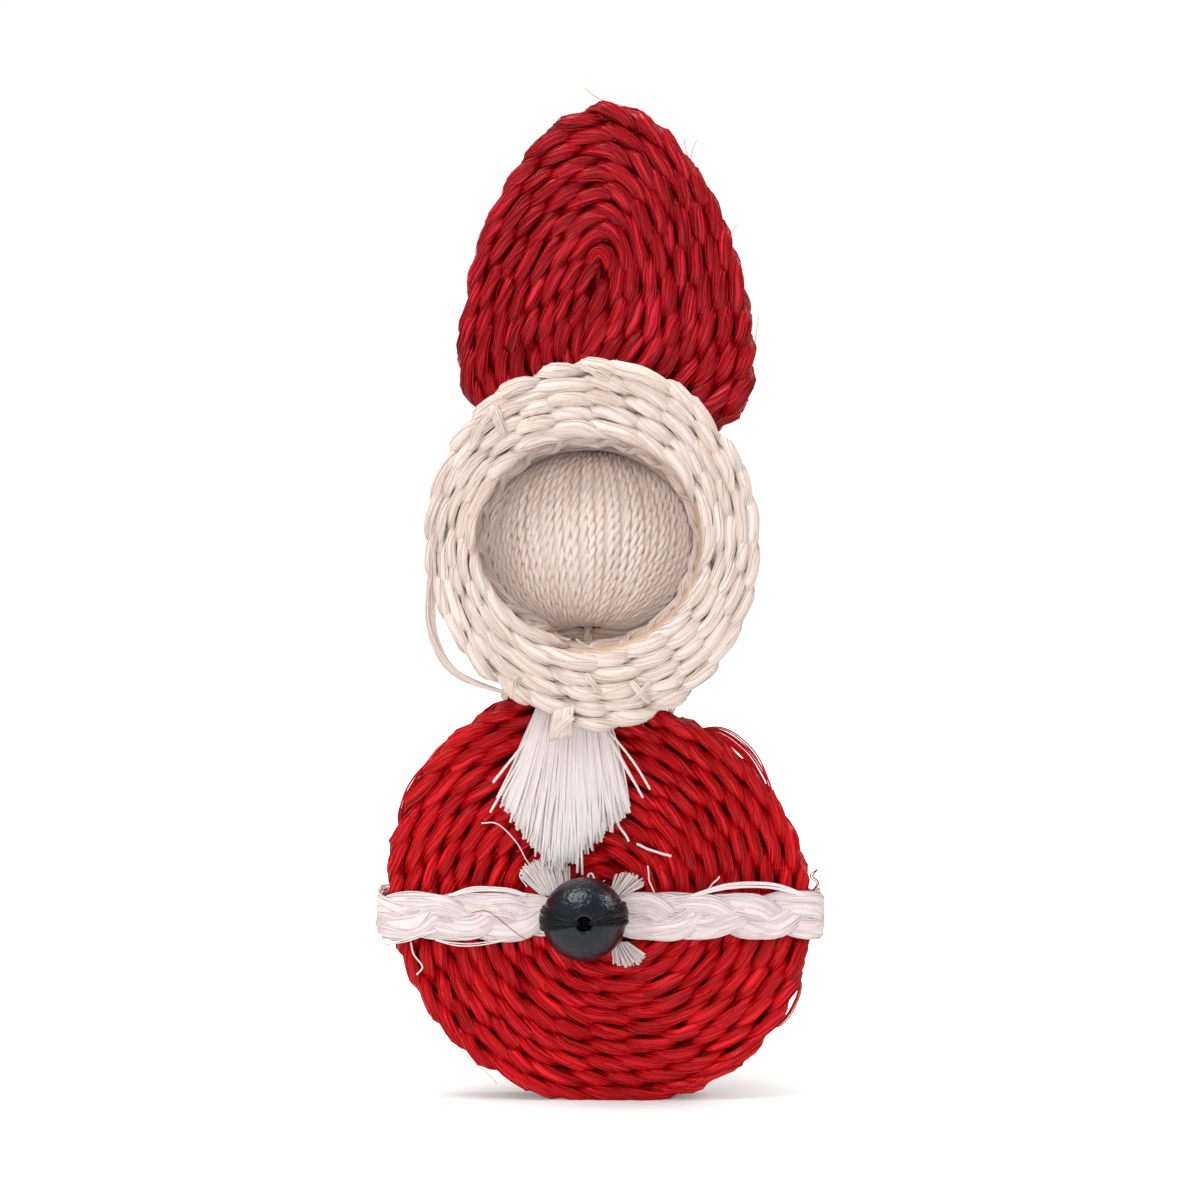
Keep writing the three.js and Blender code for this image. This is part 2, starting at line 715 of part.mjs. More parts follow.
// A short raised stitch on the front of the ring
function frontStitch([from, to]) {
  const y = -plaitDepth - seatGap - stitchThickness / 2;
  const middle = [(from[0] + to[0]) / 2, y - stitchRise, (from[1] + to[1]) / 2];
  const section = new THREE.Shape();
  section.absellipse(0, 0, stitchWidth / 2, stitchThickness / 2, 0, 2 * Math.PI);
  const path = new THREE.CatmullRomCurve3(
    [[from[0], y, from[1]], middle, [to[0], y, to[1]]].map((p) => new THREE.Vector3(...p)),
  );
  return new THREE.ExtrudeGeometry(section, {
    steps: 6,
    curveSegments: 4,
    bevelEnabled: false,
    extrudePath: path,
  });
}

function buildStitches() {
  for (const [name, legs] of Object.entries(stitches)) {
    const solids = legs.map((leg) => solidOf(frontStitch(leg)));
    addMesh(name, geometryOfSolid(wasm.Manifold.union(solids)), cream, head);
  }

  // A wide wrap binds the end of the ring's plait over its outer edge.
  const lowEdge = reachOf(ringSections, 2, -1, wrapShiftX - wrapWidth / 2, wrapShiftX + wrapWidth / 2);
  const front = -plaitDepth - seatGap;
  const clip = new THREE.Shape();
  clip.moveTo(wrapReach, front);
  clip.lineTo(0, front);
  clip.lineTo(0, -seatGap);
  clip.lineTo(-stitchThickness, -seatGap);
  clip.lineTo(-stitchThickness, front + stitchThickness / 2);
  clip.quadraticCurveTo(-stitchThickness, front - stitchThickness, 0, front - stitchThickness);
  clip.lineTo(wrapReach, front - stitchThickness);
  const wrap = new THREE.ExtrudeGeometry(clip, { depth: wrapWidth, curveSegments: 4, bevelEnabled: false });
  wrap.translate(0, 0, -wrapWidth / 2);
  const bound = addMesh('head_stitch_wrap', wrap, cream, head);
  bound.position.set(wrapShiftX, 0, lowEdge - seatGap);
  bound.rotation.y = -Math.PI / 2;
}

buildBody();
buildHat();
buildRing();
buildFace();
buildHoldingCord();
buildLashings();
buildBeard();
buildBelt();
buildTufts();
buildBead();
buildStitches();

// The origin lies under the middle of the whole figure, on the surface that it stands on.
figure.updateMatrixWorld(true);
const bounds = new THREE.Box3().setFromObject(figure, true);
const middle = bounds.getCenter(new THREE.Vector3());
figure.position.set(-middle.x, -middle.y, -bounds.min.z);

export default figure;
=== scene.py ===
# %% [markdown]
# A small winter figure of plaited plant fibre stands upright on a white table. Its construction is
# settled in the CAD frame: a hat pad and a body pad, each one red plait wound on edge, a cream ring
# round a thread-wound ball, a bristle beard, a white belt plait and a bead button. This script adds
# what the frame leaves out: the strands of every plait, the fibres in every strand, the twist of the
# thread, the paint on the bead, and the light. Everything here is in metres in the frame's own axes.

# %% Load the frame
import math

import bpy
import numpy as np
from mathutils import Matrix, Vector


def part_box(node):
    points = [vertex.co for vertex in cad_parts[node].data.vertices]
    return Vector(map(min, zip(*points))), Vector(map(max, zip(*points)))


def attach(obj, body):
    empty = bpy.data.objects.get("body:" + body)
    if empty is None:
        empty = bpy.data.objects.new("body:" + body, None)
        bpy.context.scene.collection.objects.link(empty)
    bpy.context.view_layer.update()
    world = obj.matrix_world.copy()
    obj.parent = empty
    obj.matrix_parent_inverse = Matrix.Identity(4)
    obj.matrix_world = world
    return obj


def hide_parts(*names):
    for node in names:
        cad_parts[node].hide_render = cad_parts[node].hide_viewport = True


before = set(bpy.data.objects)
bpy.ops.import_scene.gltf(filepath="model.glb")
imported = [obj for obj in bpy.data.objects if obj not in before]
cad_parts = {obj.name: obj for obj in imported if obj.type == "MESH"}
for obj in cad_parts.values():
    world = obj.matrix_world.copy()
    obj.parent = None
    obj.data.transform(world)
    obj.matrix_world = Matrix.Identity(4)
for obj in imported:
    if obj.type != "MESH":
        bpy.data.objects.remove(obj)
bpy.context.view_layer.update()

MM = 0.001
TAU = 2 * math.pi
FRONT = np.array([0.0, -1.0, 0.0])
UP = np.array([0.0, 0.0, 1.0])


def box(node):
    """Lowest and highest corner of a CAD node as two numpy arrays."""
    low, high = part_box(node)
    return np.array(low, float), np.array(high, float)


def middle(node):
    """Middle of a CAD node's box: half the sum of its two corners."""
    low, high = box(node)
    return (low + high) / 2


print("nodes in the frame:", len(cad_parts))

# %% [markdown]
# The figure is drawn as whole numpy arrays: K paths of N points at a time. Three small helpers serve
# all of them. Noise has to be smooth along a path and repeatable, so it is a sum of seeded sines.

# %% Helpers for arrays of vectors
def unit(vectors):
    """Vectors of length one: each is divided by its own length."""
    return vectors / np.maximum(np.linalg.norm(vectors, axis=-1, keepdims=True), 1e-12)


def wander(travel, wavelength, count, seed):
    """Smooth noise along a path: for each strand, the sum of four sines of the distance travelled,
    with random phases and wavelengths near the given one, scaled to stay within about -1 and 1."""
    rng = np.random.default_rng(seed)
    waves = wavelength * rng.uniform(0.6, 1.9, (count, 4, 1))
    phases = rng.uniform(0, TAU, (count, 4, 1))
    travel = np.broadcast_to(travel, (count, np.shape(travel)[-1]))[:, None, :]
    return np.sin(TAU * travel / waves + phases).sum(axis=1) / 2.4


def travelled(paths):
    """Distance along each path, as the running sum of the steps between its points."""
    steps = np.linalg.norm(np.diff(paths, axis=1), axis=2)
    return np.concatenate([np.zeros((len(paths), 1)), np.cumsum(steps, axis=1)], axis=1)


print("noise of three strands 10 mm along:", wander(np.array([10 * MM]), 9 * MM, 3, 1)[:, 0].round(2))

# %% [markdown]
# Everything on this figure is some kind of strand: plait strands, thread plies, bristles, stitches.
# Bevelled curves could draw them, but such a curve gives no control over its section. So one
# function sweeps an oval section along many paths at once. It also writes a UV map with u round the
# strand and v along it in millimetres, which the fibre material needs.

# %% Tubes along paths
def tube_walls(paths, sides):
    """Quads between each ring of corners and the next, and their UVs: u is the share of the way
    round, v the millimetres travelled, shifted by 37 for each tube so that no two look alike."""
    count, length = paths.shape[:2]
    tube, row, side = np.meshgrid(*(np.arange(n) for n in (count, length - 1, sides)), indexing="ij")
    here = tube * length * sides + row * sides
    after = (side + 1) % sides
    walls = np.stack([here + side, here + after, here + sides + after, here + sides + side], -1)
    travel = travelled(paths) / MM + 37.0 * np.arange(count)[:, None]
    v0 = np.take_along_axis(travel, row.reshape(count, -1), 1).reshape(row.shape)
    v1 = np.take_along_axis(travel, row.reshape(count, -1) + 1, 1).reshape(row.shape)
    u0, u1 = side / sides, (side + 1) / sides
    uv = np.stack([u0, v0, u1, v0, u1, v1, u0, v1], -1)
    return walls.reshape(-1, 4), uv.reshape(-1, 4, 2)


def tube_caps(count, length, sides):
    """Quads that close both ends of each tube: strips between facing corners of the end rings."""
    half = np.arange(sides // 2 - 1)
    cap = np.stack([half, half + 1, sides - 2 - half, sides - 1 - half], -1)
    starts = (np.arange(count) * length * sides)[:, None, None]
    ends = starts + (length - 1) * sides
    return np.concatenate([(starts + cap[:, ::-1]).reshape(-1, 4), (ends + cap).reshape(-1, 4)])


def sweep(paths, flat_side, thin, wide, sides, relief=None):
    """Tubes along K paths of N points, as points, quads and quad UVs. At each point the section is
    an ellipse: thin along the flat side's direction made square to the path, wide along the cross
    product of path and that direction. Relief scales the radius of every corner."""
    count, length = paths.shape[:2]
    along = unit(np.gradient(paths, axis=1))
    flat = np.broadcast_to(flat_side, paths.shape)
    first = unit(flat - (flat * along).sum(-1, keepdims=True) * along)
    second = np.cross(along, first)
    turn = TAU * np.arange(sides) / sides
    thin = np.broadcast_to(thin, (count, length))[:, :, None]
    wide = np.broadcast_to(wide, (count, length))[:, :, None]
    relief = np.ones((count, length, sides)) if relief is None else relief
    over = (thin * np.cos(turn) * relief)[..., None] * first[:, :, None, :]
    beside = (wide * np.sin(turn) * relief)[..., None] * second[:, :, None, :]
    points = (paths[:, :, None, :] + over + beside).reshape(-1, 3)
    walls, uv = tube_walls(paths, sides)
    caps = tube_caps(count, length, sides)
    return points, np.concatenate([walls, caps]), np.concatenate([uv, np.zeros((len(caps), 4, 2))])


def closed_grid(rows, columns):
    """Quads of a grid that closes on itself both ways: a corner, the next in its row, and the two
    below them."""
    row, side = np.meshgrid(np.arange(rows), np.arange(columns), indexing="ij")
    after, below = (side + 1) % columns, (row + 1) % rows
    corners = [row * columns + side, row * columns + after, below * columns + after, below * columns + side]
    return np.stack(corners, -1).reshape(-1, 4)


print("quads of a closed grid of 3 by 4:", len(closed_grid(3, 4)))

# %% [markdown]
# A piece of the figure is often several sets of tubes, which share one mesh. The arrays go into it
# with foreach_set, which is far quicker than one vertex after another. Whatever comes out below the
# table, such as a low hair, is lifted to it.

# %% From arrays to objects
def join(parts):
    """Several (points, quads, uv) sets as one, with the later sets' indices moved up."""
    offsets = np.cumsum([0] + [len(p[0]) for p in parts[:-1]])
    points = np.concatenate([p[0] for p in parts])
    quads = np.concatenate([p[1] + o for p, o in zip(parts, offsets)])
    return points, quads, np.concatenate([p[2] for p in parts])


def add_piece(name, shape, material, nodes=()):
    """Puts points, quads and UVs into a mesh object that rides on the figure and stands for nodes.
    Heights below zero become zero."""
    points, quads, uv = shape
    points[:, 2] = np.maximum(points[:, 2], 0.0)
    mesh = bpy.data.meshes.new(name)
    mesh.vertices.add(len(points))
    mesh.vertices.foreach_set("co", points.astype(np.float32).ravel())
    mesh.loops.add(quads.size)
    mesh.loops.foreach_set("vertex_index", quads.astype(np.int32).ravel())
    mesh.polygons.add(len(quads))
    mesh.polygons.foreach_set("loop_start", np.arange(0, quads.size, 4, dtype=np.int32))
    mesh.polygons.foreach_set("use_smooth", np.ones(len(quads), dtype=bool))
    mesh.uv_layers.new(name="UVMap").data.foreach_set("uv", uv.astype(np.float32).ravel())
    mesh.update()
    mesh.validate()
    mesh.materials.append(material)
    piece = bpy.data.objects.new(name, mesh)
    bpy.context.scene.collection.objects.link(piece)
    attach(piece, "root")
    if nodes:
        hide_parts(*nodes)
    print(f"{name}: {2 * len(quads)} triangles")


trial_rod = sweep(np.linspace([0.0, 0.0, 0.0], [0.01, 0.0, 0.0], 3)[None], UP, MM, MM, 8)
print("points of two joined rods:", len(join([trial_rod, trial_rod])[0]))

# %% [markdown]
# The fibre is sisal or abaca: silky, nearly straight, dyed or bleached. It never has one colour. Each
# lock is a little lighter or darker than its neighbour, and single fibres streak along it. The pattern
# must follow the lock, so it is noise on the UV map: one layer is stretched so far along the lock that
# it tells locks apart, and a second, finer one draws the fibres and also lifts the surface as a bump.

# %% Parts of a material
def node(tree, kind, **settings):
    """New shader node of a kind, with its settings given by name."""
    made = tree.nodes.new(kind)
    for key, value in settings.items():
        setattr(made, key, value)
    return made


def ramp(tree, source, stops):
    """Colour ramp on a 0-1 value; stops are (place, linear colour)."""
    made = node(tree, "ShaderNodeValToRGB")
    elements = made.color_ramp.elements
    while len(elements) < len(stops):
        elements.new(0.5)
    for element, (place, colour) in zip(elements, stops):
        element.position = place
        element.color = (*colour, 1.0)
    tree.links.new(source, made.inputs["Fac"])
    return made.outputs["Color"]


def noise(tree, coordinates, scale, detail):
    """Noise between 0 and 1 on coordinates times a scale."""
    made = node(tree, "ShaderNodeTexNoise")
    made.inputs["Scale"].default_value = scale
    made.inputs["Detail"].default_value = detail
    tree.links.new(coordinates, made.inputs["Vector"])
    return made.outputs["Fac"]


def streaks(tree, coordinates, round_scale, along_scale, detail):
    """Noise stretched along the strand: scaled by round_scale in u and along_scale per millimetre."""
    squeeze = node(tree, "ShaderNodeMapping")
    squeeze.inputs["Scale"].default_value = (round_scale, along_scale, 1.0)
    tree.links.new(coordinates, squeeze.inputs["Vector"])
    return noise(tree, squeeze.outputs["Vector"], 1.0, detail)


def bump(tree, height, strength, distance, shader):
    """Bends the shader's normal by a height: strength times distance is the depth of the relief."""
    lift = node(tree, "ShaderNodeBump")
    lift.inputs["Strength"].default_value = strength
    lift.inputs["Distance"].default_value = distance
    tree.links.new(height, lift.inputs["Height"])
    tree.links.new(lift.outputs["Normal"], shader.inputs["Normal"])


def principled(name, roughness=0.5, specular=0.5):
    """New material of constant roughness and specular level, with its node tree and its shader."""
    material = bpy.data.materials.new(name)
    material.use_nodes = True
    shader = material.node_tree.nodes["Principled BSDF"]
    shader.inputs["Roughness"].default_value = roughness
    shader.inputs["Specular IOR Level"].default_value = specular
    return material, material.node_tree, shader


frame_materials = len(bpy.data.materials)
print("materials that came with the frame:", frame_materials)

# %% [markdown]
# Every fibre on the figure is that one material in other colours. Dyed red fibre is shiny and
# streaked; bleached and cream fibre is duller and more even. The fibres inside a pad or the ring get
# darker colours of the same fibre, which paint the shade there, because little light reaches them.

# %% Fibre material
def fibre(name, dark, body, light, roughness=0.38, relief=0.35, specular=0.25, fine=26, contrast=0.18):
    """Silky fibre: 0.55 of a fine streak plus 0.45 of the strand's slow shade choose from dark over
    body to light. Fine is the number of streaks round a strand; the smaller the contrast's width,
    the harder the colours part. The fine streaks also lift the surface."""
    material, tree, shader = principled(name, roughness, specular)
    uv = node(tree, "ShaderNodeUVMap", uv_map="UVMap").outputs["UV"]
    single = streaks(tree, uv, fine, 0.1, 2.0)
    shade = streaks(tree, uv, 1.2, 0.045, 1.0)
    blend = node(tree, "ShaderNodeMix", data_type="FLOAT")
    blend.inputs["Factor"].default_value = 0.45
    tree.links.new(single, blend.inputs["A"])
    tree.links.new(shade, blend.inputs["B"])
    stops = [(0.5 - contrast, dark), (0.5, body), (0.5 + contrast, light)]
    tree.links.new(ramp(tree, blend.outputs["Result"], stops), shader.inputs["Base Color"])
    bump(tree, single, relief, 0.12 * MM, shader)
    return material


DYED = dict(roughness=0.3, relief=0.75, specular=0.22, fine=15, contrast=0.12)
RED = fibre("red sisal", (0.2, 0.0, 0.001), (0.52, 0.001, 0.003), (0.9, 0.014, 0.026), **DYED)
RED_HAT = fibre("crimson sisal", (0.13, 0.0, 0.001), (0.33, 0.001, 0.004), (0.72, 0.018, 0.038), **DYED)
# The inner sorts are painted shade: darker colours that stand for the little light inside pads and ring.
RED_SHADE = fibre("red sisal in painted shade", (0.13, 0.0, 0.001), (0.24, 0.0, 0.002), (0.32, 0.001, 0.005), 0.6)
CREAM = fibre(
    "cream sisal", (0.66, 0.49, 0.38), (0.77, 0.65, 0.585), (0.84, 0.75, 0.7), 0.5, 0.5,
    fine=18, contrast=0.15,
)
# Painted shade in cream: the ring's inside and the fibres under the bore's mouth.
CREAM_SHADE = fibre("cream sisal in painted shade", (0.58, 0.38, 0.24), (0.66, 0.48, 0.34), (0.7, 0.56, 0.44), 0.6)
WHITE = fibre("bleached sisal", (0.8, 0.7, 0.68), (0.87, 0.79, 0.77), (0.9, 0.84, 0.83), 0.5)
BELT_WHITE = fibre(
    "belt sisal", (0.7, 0.58, 0.55), (0.82, 0.72, 0.7), (0.88, 0.8, 0.78), 0.5, 0.5,
    fine=20, contrast=0.14,
)
THREAD = fibre("ecru thread", (0.6, 0.47, 0.39), (0.765, 0.64, 0.575), (0.86, 0.765, 0.71), 0.55)
BLACK = fibre("black fibre", (0.001, 0.001, 0.002), (0.003, 0.003, 0.004), (0.012, 0.012, 0.016), 0.35)
print("fibre materials:", len(bpy.data.materials) - frame_materials)

# %% [markdown]
# A coil is one plait that starts at an eye and winds clockwise, as seen from the front, out to the
# pad's edge. The CAD strip follows the same rule, so the plait here repeats it: on the ray at each
# angle the line lies a share of the way from the eye to the outline, and the share grows steadily.
# The finished line is then moved so that its strip fills the CAD node's box exactly.

# %% Outlines of the pads
STRIP_DEPTH = 9 * MM
BODY_TURNS, HAT_TURNS = 12, 8.35
BODY_LEAN, BODY_LONG, BODY_SHORT = math.radians(51), 31.2 * MM, 29.4 * MM
SETTLE, SETTLE_X, SETTLE_REACH = 0.8 * MM, 1.8 * MM, 9 * MM
HAT_HALF_WIDTH, HAT_RISE, HAT_DROP = 21.4 * MM, 35.6 * MM, 13.4 * MM


def oval(half_width, half_height, x=0.0, z=0.0):
    """Ellipse as a function of the angle clockwise from the top: x by sine, z by cosine."""
    return lambda a: np.stack([x + half_width * np.sin(a), z + half_height * np.cos(a)], -1)


def body_outline(a):
    """Ellipse whose long axis leans to the left of upright, settled a little at its foot: below the
    middle, a bell curve of x lifts the lowest part."""
    along = BODY_LONG * np.cos(a + BODY_LEAN)
    across = BODY_SHORT * np.sin(a + BODY_LEAN)
    x = -along * np.sin(BODY_LEAN) + across * np.cos(BODY_LEAN)
    z = along * np.cos(BODY_LEAN) + across * np.sin(BODY_LEAN)
    settled = SETTLE * np.exp(-(((x - SETTLE_X) / SETTLE_REACH) ** 2))
    return np.stack([x, z + np.where(z < 0, settled, 0)], -1)


def hat_outline(a):
    """Two half superellipses that share a width: a tall pointed one above a low blunt one. Sine and
    cosine are raised to two over the fullness, 1.8 above and 2.85 below."""
    sine, cosine = np.sin(a), np.cos(a)
    power = np.where(cosine >= 0, 2 / 1.8, 2 / 2.85)
    height = np.where(cosine >= 0, HAT_RISE, HAT_DROP)
    x = HAT_HALF_WIDTH * np.sign(sine) * np.abs(sine) ** power
    return np.stack([x, height * np.sign(cosine) * np.abs(cosine) ** power], -1)


def hat_eye(a):
    """The hat's eye: almost a slit, whose top leans to the right of its bottom by 0.26 of the way."""
    z = 6.2 * MM * np.cos(a)
    return np.stack([-2.2 * MM + 0.35 * MM * np.sin(a) + 0.26 * z, 6.1 * MM + z], -1)


print("hat's eye from top to bottom, mm:", (hat_eye(np.array([0, math.pi])) / MM).round(1).tolist())

# %% [markdown]
# The line of a coil could be drawn by hand as a spiral curve, but it would not follow these outlines.
# So it is worked out at 400 angles to a turn and then resampled to an even spacing, because a strand's
# rings of corners should lie equally far apart.

# %% Lines of the coils
ANGLES_PER_TURN = 400
BODY_END, HAT_END = 350, 135


def coil_line(eye, outline, turns, end_angle, fill, spacing):
    """A coil resampled to an even spacing: its flat points [x, z], the pitch and the share of the way
    out at each of them, the edges of the CAD strip, and its length."""
    end = math.radians(end_angle)
    angle = np.linspace(end - TAU * turns, end, int(turns * ANGLES_PER_TURN))
    share = np.linspace(0, 1, len(angle))
    ray = outline(angle) - eye(angle)
    line = eye(angle) + ray * share[:, None]
    half = ray * fill / turns / 2
    travel = travelled(line[None])[0]
    even = np.linspace(0, travel[-1], int(travel[-1] / spacing))
    across, height, room, place = (
        np.interp(even, travel, values)
        for values in (line[:, 0], line[:, 1], np.linalg.norm(ray, axis=1), share)
    )
    return {
        "flat": np.stack([across, height], -1),
        "pitch": room / turns,
        "share": place,
        "edges": np.concatenate([line - half, line + half]),
        "length": travel[-1],
    }


def upright(flat, depth=0.0):
    """Flat points [x, z] as points in space at a depth behind the front."""
    return np.stack([flat[:, 0], np.full(len(flat), depth), flat[:, 1]], -1)


def outward(flat):
    """Unit direction away from the coil's middle: the path's direction turned a quarter, in the pad."""
    along = unit(np.gradient(flat, axis=0))
    return np.stack([-along[:, 1], np.zeros(len(flat)), along[:, 0]], -1)


def fit_to_box(edge_points, node_name):
    """The shift that puts the middle of some points on the middle of a CAD node's box."""
    return middle(node_name) - (edge_points.max(0) + edge_points.min(0)) / 2


BODY = coil_line(oval(1.9 * MM, 1.9 * MM), body_outline, BODY_TURNS, BODY_END, 0.8, 1.25 * MM)
HAT = coil_line(hat_eye, hat_outline, HAT_TURNS, HAT_END, 0.7, 1.1 * MM)
for label, coil in (("body", BODY), ("hat", HAT)):
    print(f"{label} plait: {coil['length']:.2f} m long")

# %% [markdown]
# A plait is several copies of one path, a share of a period apart: four in the pads and the ring,
# three in the belt. Each strand swings from edge to edge of the plait, stays a while at the edge, and
# crosses its neighbours in between. Wound on edge, the swing is the pad's depth and the crossing runs
# along the pad's radius, so the front shows only the bends: long slanted lens shapes, one behind the
# other. A strand is a flat ribbon that turns its face outwards as it goes round the edge.

# %% Plait paths
def plait_paths(line, out, across, strands, period, swing, cross, seed, flare=0.0, folded=True):
    """Strand centres about a line, and the direction that each ribbon's face looks. The phase is the
    distance over the period plus an even share of a turn per strand. The swing is its sine with a
    flattened crest; the crossing is the sine of twice the phase, with a quarter of the sine of four
    times. Flare moves what lies at the back inwards. A folded ribbon's face turns with the cube of
    the phase's cosine."""
    travel = travelled(line[None])
    phase = TAU * travel / period + TAU * np.arange(strands)[:, None] / strands
    phase = phase + 0.35 * wander(travel[0], 22 * MM, strands, seed)
    side = swing * (1.12 * np.sin(phase) + 0.12 * np.sin(3 * phase))
    side = side * (1 + 0.05 * wander(travel[0], 15 * MM, strands, seed + 1))
    over = cross * (np.sin(2 * phase) + 0.25 * np.sin(4 * phase))
    over = over + 0.12 * MM * wander(travel[0], 9 * MM, strands, seed + 2) - flare * side / STRIP_DEPTH
    tilt = -math.pi / 2 * (1 + np.cos(phase) ** 3) * folded
    face = np.cos(tilt)[..., None] * out + np.sin(tilt)[..., None] * across
    return line[None] + side[..., None] * across + over[..., None] * out, face


level_line = np.linspace([0.0, 0.0, 0.0], [0.05, 0.0, 0.0], 40)
trial = plait_paths(level_line, UP, -FRONT, 4, 21 * MM, 4 * MM, 0.5 * MM, 1)[0]
print("trial plait's reach, mm:", (np.ptp(trial.reshape(-1, 3), axis=0) / MM).round(1).tolist())

# %% [markdown]
# Up close a strand is a smooth flat bundle of very many parallel fibres, with a few locks lying on it.
# The bundle is one ridged tube: every corner of its section has its own height, which changes slowly
# along the strand, so ridges run with the fibre, fade and start again. The locks are thin ribbons on
# its skin that slide slowly round it, which breaks the evenness as loose fibres do.

# %% Strands of fibre
TAPER_LENGTH = 7 * MM
LOCK_THIN, LOCK_WIDE = 0.08 * MM, 0.15 * MM


def strand(path, face, thin, wide, locks, seed, sides=36, ridge=0.07):
    """One strand: a ridged oval (thin along its face, wide across it) and locks on its skin. Lock
    number j sits at j turns over the count, plus noise. Both ends taper."""
    rng = np.random.default_rng(seed)
    along = unit(np.gradient(path, axis=0))
    first = unit(face - (face * along).sum(-1, keepdims=True) * along)
    second = np.cross(along, first)
    travel = travelled(path[None])[0]
    from_end = np.minimum(travel, travel[-1] - travel)
    swell = (1 + 0.09 * wander(travel, 12 * MM, 1, seed)[0]) * np.clip(0.12 + from_end / TAPER_LENGTH, 0, 1)
    ridges = ridge * (0.8 * rng.normal(0, 1, (sides, 1)) + wander(travel, 13 * MM, sides, seed + 4))
    body = sweep(path[None], face[None], thin * swell, wide * swell, sides, 1 + ridges.T[None])

    turn = TAU * np.arange(locks)[:, None] / locks + 0.5 * wander(travel, 17 * MM, locks, seed + 1)
    height = 1.04 + 0.08 * wander(travel, 11 * MM, locks, seed + 2)
    over = (thin * swell * height * np.cos(turn))[..., None] * first
    beside = (wide * swell * height * np.sin(turn))[..., None] * second
    outside = (np.cos(turn) / np.mean(thin))[..., None] * first
    outside = unit(outside + (np.sin(turn) / np.mean(wide))[..., None] * second)
    size = 1 + 0.3 * wander(travel, 14 * MM, locks, seed + 3)
    skin = sweep(path[None] + over + beside, outside, LOCK_THIN * size, LOCK_WIDE * size, 4)
    return join([body, skin])


def add_plait(name, plait, thin, wide, locks, material, slot, nodes, seed):
    """One object per strand, which together stand for the CAD nodes."""
    for number, (path, face) in enumerate(zip(*plait)):
        shape = strand(path, face, thin, wide, locks, seed + 10 * number)
        add_piece(f"{name}_strand_{number + 1}", shape, material, nodes)


print("faces of a trial strand:", len(strand(trial[0], np.tile(FRONT, (40, 1)), 0.5 * MM, MM, 9, 1)[1]))

# %% [markdown]
# Between the turns of a real pad no light comes through, because the plaits are squeezed together and
# fibres fill every hollow. A plain ribbon inside each plait, in a darker red that paints the shade
# between the turns, stands for those inner fibres. It is drawn in on the last turn, where the strands
# cross the pad's edge.

# %% Body pad
PERIOD = 21 * MM
THIN, WIDE, CROSS = 0.23, 0.37, 0.27
ROOM_AT_FACES = 0.1 * MM
FILLER_HALF, FILLER_SHRINKS, FILLER_MOVES = 0.56, 0.32, 0.3


def swing_for(thickest):
    """Swing of strands that are this thick at most: half the pad's depth, less strand and room."""
    return STRIP_DEPTH / 2 - thickest - ROOM_AT_FACES


def filler(line, face, coil, turns, depth=3.1 * MM):
    """Oval ribbon along a coil, whose half width is a share of the pitch. On the last turn that share
    shrinks and the ribbon moves inwards. It begins as a point."""
    last = np.clip((coil["share"] - (1 - 1.1 / turns)) * turns * 6, 0, 1)
    inner = line - face * (FILLER_MOVES * coil["pitch"] * last)[:, None]
    begin = np.clip(coil["share"] * turns * 8, 0.1, 1)
    half_width = coil["pitch"] * (FILLER_HALF - FILLER_SHRINKS * last) * begin
    return sweep(inner[None], face[None], half_width, depth * begin, 12)


def add_pad_strands(name, node_name, line, out, coil, thickest, material, seeds):
    """The four strands of a red pad: they swing through its depth and cross along its radius. Their
    thickness, width and crossing are shares of the pitch."""
    pitch = coil["pitch"]
    plait = plait_paths(line, out, -FRONT, 4, PERIOD, swing_for(thickest), CROSS * pitch, seeds[0])
    add_plait(name, plait, THIN * pitch, WIDE * pitch, 9, material, "red_fibre", [node_name], seeds[1])


body_line = upright(BODY["flat"]) + fit_to_box(upright(BODY["edges"]), "body_coil")
body_out = outward(BODY["flat"])
add_pad_strands("body", "body_coil", body_line, body_out, BODY, 0.62 * MM, RED, (10, 100))
# The filler is in the darker inner red: painted shade between the turns.
add_piece("body_inside", filler(body_line, body_out, BODY, BODY_TURNS), RED_SHADE)

# %% [markdown]
# The hat is the same plait in a deeper red, wound round an eye that is almost a slit. Its right side
# is a little narrower than the CAD outline, so the line is drawn in there. The plait's start lies
# upright in the eye as one thick strand. Behind it an oval core in the darker inner red, painted
# shade, closes the eye against the light.

# %% Hat pad
HAT_DRAWN_IN = 0.94
EYE_POINTS = 24
START_FORWARD = 2.6 * MM

hat_shift = fit_to_box(upright(HAT["edges"]), "hat_coil")
hat_flat = HAT["flat"] * np.where(HAT["flat"][:, :1] > 0, [[HAT_DRAWN_IN, 1.0]], 1.0)
hat_line = upright(hat_flat) + hat_shift
hat_out = outward(hat_flat)
add_pad_strands("hat", "hat_coil", hat_line, hat_out, HAT, 0.66 * MM, RED_HAT, (30, 200))
eye_ends = hat_eye(np.array([0.0, math.pi])) * np.array([1.0, 0.9])
eye_face = np.broadcast_to(FRONT, (EYE_POINTS, 3))


def along_eye(first, last):
    """Points down the hat's eye, from a first to a last share of the way from its top to its foot."""
    share = np.linspace(first, last, EYE_POINTS)[:, None]
    return upright(eye_ends[:1] + (eye_ends[1:] - eye_ends[:1]) * share) + hat_shift


eye_core = sweep(along_eye(-0.2, 1.1)[None], eye_face[None], 1.8 * MM, 1.9 * MM, 12)
hat_inside = join([filler(hat_line, hat_out, HAT, HAT_TURNS), eye_core])
# Filler and eye core take the darker inner red, painted shade.
add_piece("hat_inside", hat_inside, RED_SHADE)
hat_start = strand(along_eye(0, 1) + START_FORWARD * FRONT, eye_face, 1.4 * MM, 1.25 * MM, 6, 260)
add_piece("hat_plait_start", hat_start, RED_HAT)

# %% [markdown]
# The head ring is the same plait in undyed fibre, wound round an opening that the ball fills. It
# leans a little, lower edge forward, and opens like a cup: the front edge of every turn lies further
# out than its back edge. The lean is a rotation of the flat coil about the ring's own back plane.

